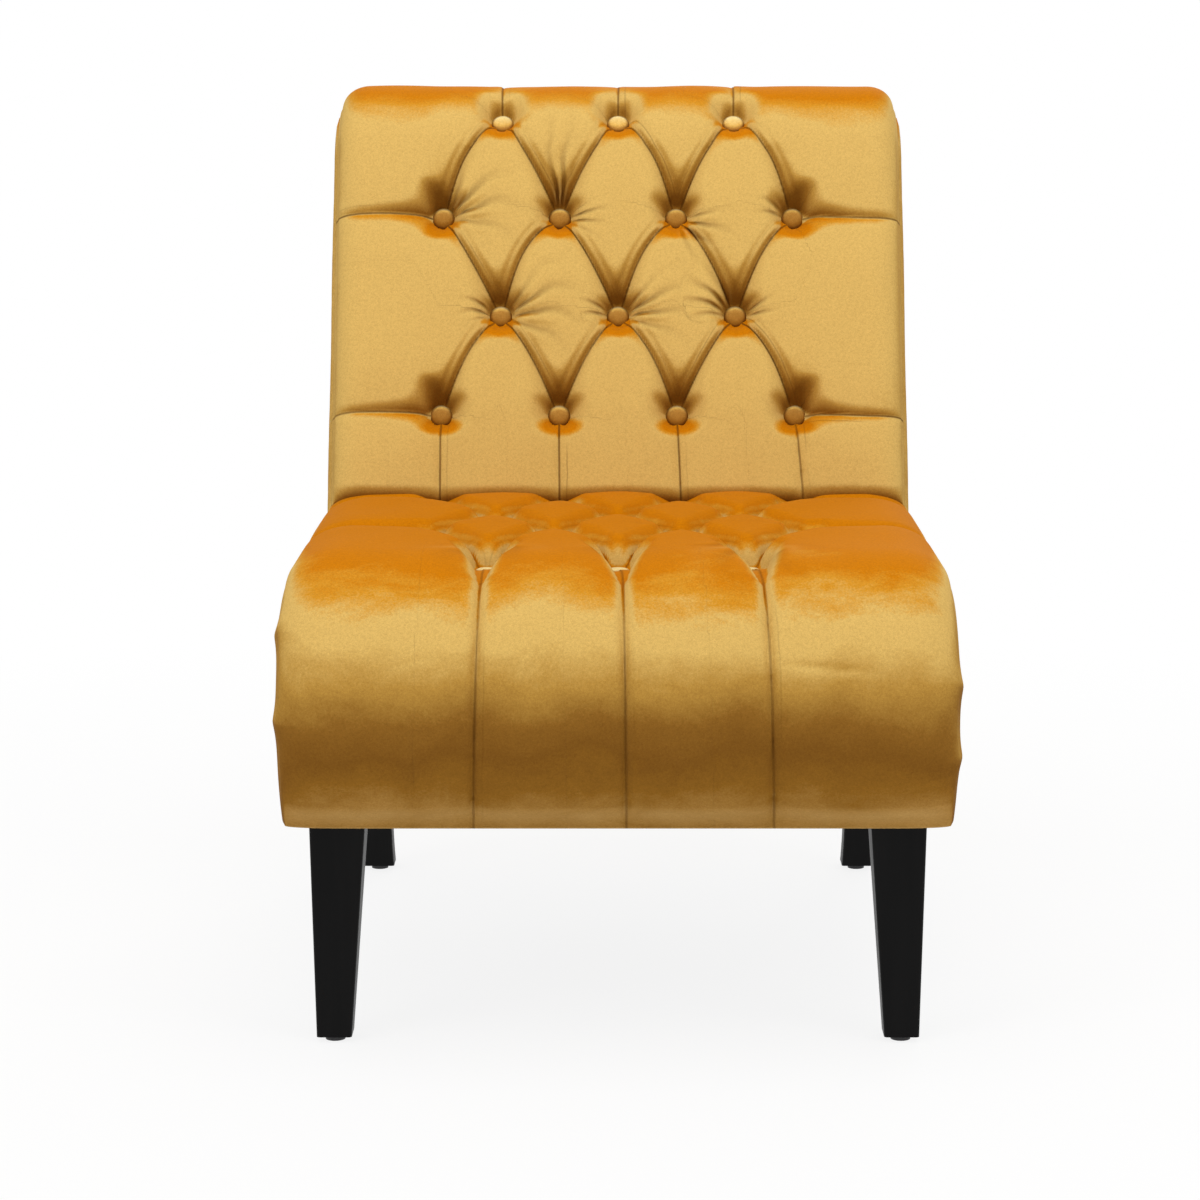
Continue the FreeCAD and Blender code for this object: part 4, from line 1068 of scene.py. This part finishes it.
def side_panel(side, word):
    """A flat face cut into a grid, given its thickness, and crowned in from its rim."""
    line = side_outline()
    form = bmesh.new()
    inner = SIDE_FACE - PANEL_DEPTH
    form.faces.new([form.verts.new((side * inner, p.y, p.z)) for p in line])
    for axis, place, high in PANEL_CUTS:
        normal = Vector((0, 0, 0))
        normal[axis] = 1
        while place < high:
            bmesh.ops.bisect_plane(
                form, geom=[*form.verts, *form.edges, *form.faces], dist=1e-6,
                plane_co=normal * place, plane_no=normal,
            )
            place += PANEL_STEP
    made = bmesh.ops.extrude_face_region(form, geom=list(form.faces))["geom"]
    outer = [v for v in made if isinstance(v, bmesh.types.BMVert)]
    rim = np.array([(p.y, p.z) for p in line])
    run = np.roll(rim, -1, axis=0) - rim
    spot = np.array([(v.co.y, v.co.z) for v in outer])
    share = ((spot[:, None] - rim) * run).sum(2) / np.maximum((run ** 2).sum(1), 1e-12)
    off = spot[:, None] - rim - np.clip(share, 0, 1)[..., None] * run
    near = np.sqrt((off ** 2).sum(2)).min(1)
    crown = 0.0095 + 0.0028 * (1 - np.exp(-near / 0.030)) - 0.0015 * np.exp(-near / 0.002)
    for vertex, rise, (y, z) in zip(outer, crown, spot):
        ripple = 0.0005 * math.sin(26 * y + 9 * z) * math.sin(19 * z - 7 * y)
        vertex.co.x = side * (inner + rise + ripple)
    panel = piece(
        meshed(f"side_panel_{word}", form), f"side_cover_{word}", f"side_padding_{word}",
        slot="gold_velvet", material=side_velvet,
    )


for side, word in ((-1, "left"), (1, "right")):
    side_panel(side, word)


def outside_levels(x, s):
    return [0.0022 * (1 - (x / SIDE_FACE) ** 4) + uneven(x, s, 0.0005)]


def outside_edge(s):
    return np.full_like(s, -0.001)


outside_columns = cross_columns(SIDE_FACE - 0.0005, 0.008, 0.0, 1.0, OUTSIDE_STEP)
outside_panel = piece(
    pad_mesh(
        "outside_back_panel", OUTSIDE, outside_columns, 0.0, outside_levels, 0.005,
        outside_edge, spacing=OUTSIDE_STEP,
    ),
    "outside_back_cover", "outside_back_padding", slot="gold_velvet", material=side_velvet,
)


# Floor, light and camera

FLOOR_HALF = 8.0
GLOW_NEAR = 0.86
GLOW_START = 0.6
GLOW_RUN = 1.1
ROOM_TINT = (1.0, 0.985, 0.96)
ROOM_LIGHT = 0.55


def pale_floor():
    """A pale floor that holds the chair's shadow and turns into the white room away from it."""
    f = Finish("pale_floor")
    speck = f.noise(300.0, 2.0)
    tone = f.ramp(speck, [(0.0, (0.80, 0.80, 0.80)), (1.0, (0.84, 0.84, 0.84))])
    f.finish(Base_Color=tone, Roughness=0.9 + speck * 0.05)
    glow = f.add("ShaderNodeEmission", {}, Color=WHITE, Strength=1.0)
    far = f.value(f.add("ShaderNodeVectorMath", {"operation": "LENGTH"}, f.place), "Value")
    away = ((far - GLOW_START) / GLOW_RUN).clipped()
    share = f.seen() * (GLOW_NEAR + away * (1 - GLOW_NEAR))
    either = f.add("ShaderNodeMixShader", {}, share, f.shader.outputs[0], glow.outputs[0])
    f.fill(f.output.inputs["Surface"], either.outputs[0])
    return f.material


def lay_floor():
    ground = bmesh.new()
    bmesh.ops.create_grid(ground, x_segments=1, y_segments=1, size=FLOOR_HALF)
    mesh = bpy.data.meshes.new("floor")
    ground.to_mesh(mesh)
    ground.free()
    mesh.materials.append(pale_floor())
    floor = bpy.data.objects.new("floor", mesh)
    bpy.context.scene.collection.objects.link(floor)


def light_room():
    """Soft light from all sides, seen as plain white."""
    world = bpy.data.worlds.new("soft_room")
    world.use_nodes = True
    nodes = Nodes(world.node_tree)
    room = nodes.add("ShaderNodeBackground", {}, Color=ROOM_TINT, Strength=ROOM_LIGHT)
    white = nodes.add("ShaderNodeBackground", {}, Color=WHITE, Strength=1.0)
    either = nodes.add(
        "ShaderNodeMixShader", {}, nodes.seen(), room.outputs[0], white.outputs[0]
    )
    nodes.add("ShaderNodeOutputWorld", {}, Surface=either.outputs[0])
    bpy.context.scene.world = world


def softbox(name, place, aim, size, watts):
    light = bpy.data.lights.new(name, "AREA")
    light.shape = "RECTANGLE"
    light.size, light.size_y = size
    light.energy = watts
    lamp = bpy.data.objects.new(name, light)
    lamp.location = place
    lamp.rotation_euler = (Vector(aim) - Vector(place)).to_track_quat("-Z", "Y").to_euler()
    bpy.context.scene.collection.objects.link(lamp)


lay_floor()
light_room()
softbox("overhead", (0.0, -0.7, 2.7), (0, 0, 0.45), (2.6, 2.0), 37)
softbox("front_left", (-2.2, -2.4, 1.7), (0, 0, 0.45), (1.6, 2.0), 24)
softbox("front_right", (2.4, -2.2, 1.4), (0, 0, 0.45), (1.6, 2.0), 18)
softbox("rear", (0.6, 2.6, 1.9), (0, 0.2, 0.5), (2.0, 1.6), 22)

# The camera's place and pitch were fitted to the photograph
CAMERA_PLACE = (0, -3.027, 0.835)
CAMERA_PITCH = 9.46
camera_data = bpy.data.cameras.new("camera")
camera_data.lens = 98.94
camera_data.sensor_width = 36
camera_data.shift_x = -0.015
camera = bpy.data.objects.new("camera", camera_data)
camera.location = CAMERA_PLACE
camera.rotation_euler = (math.radians(90 - CAMERA_PITCH), 0, 0)
bpy.context.scene.collection.objects.link(camera)
bpy.context.scene.camera = camera
bpy.context.scene.view_settings.view_transform = "Standard"
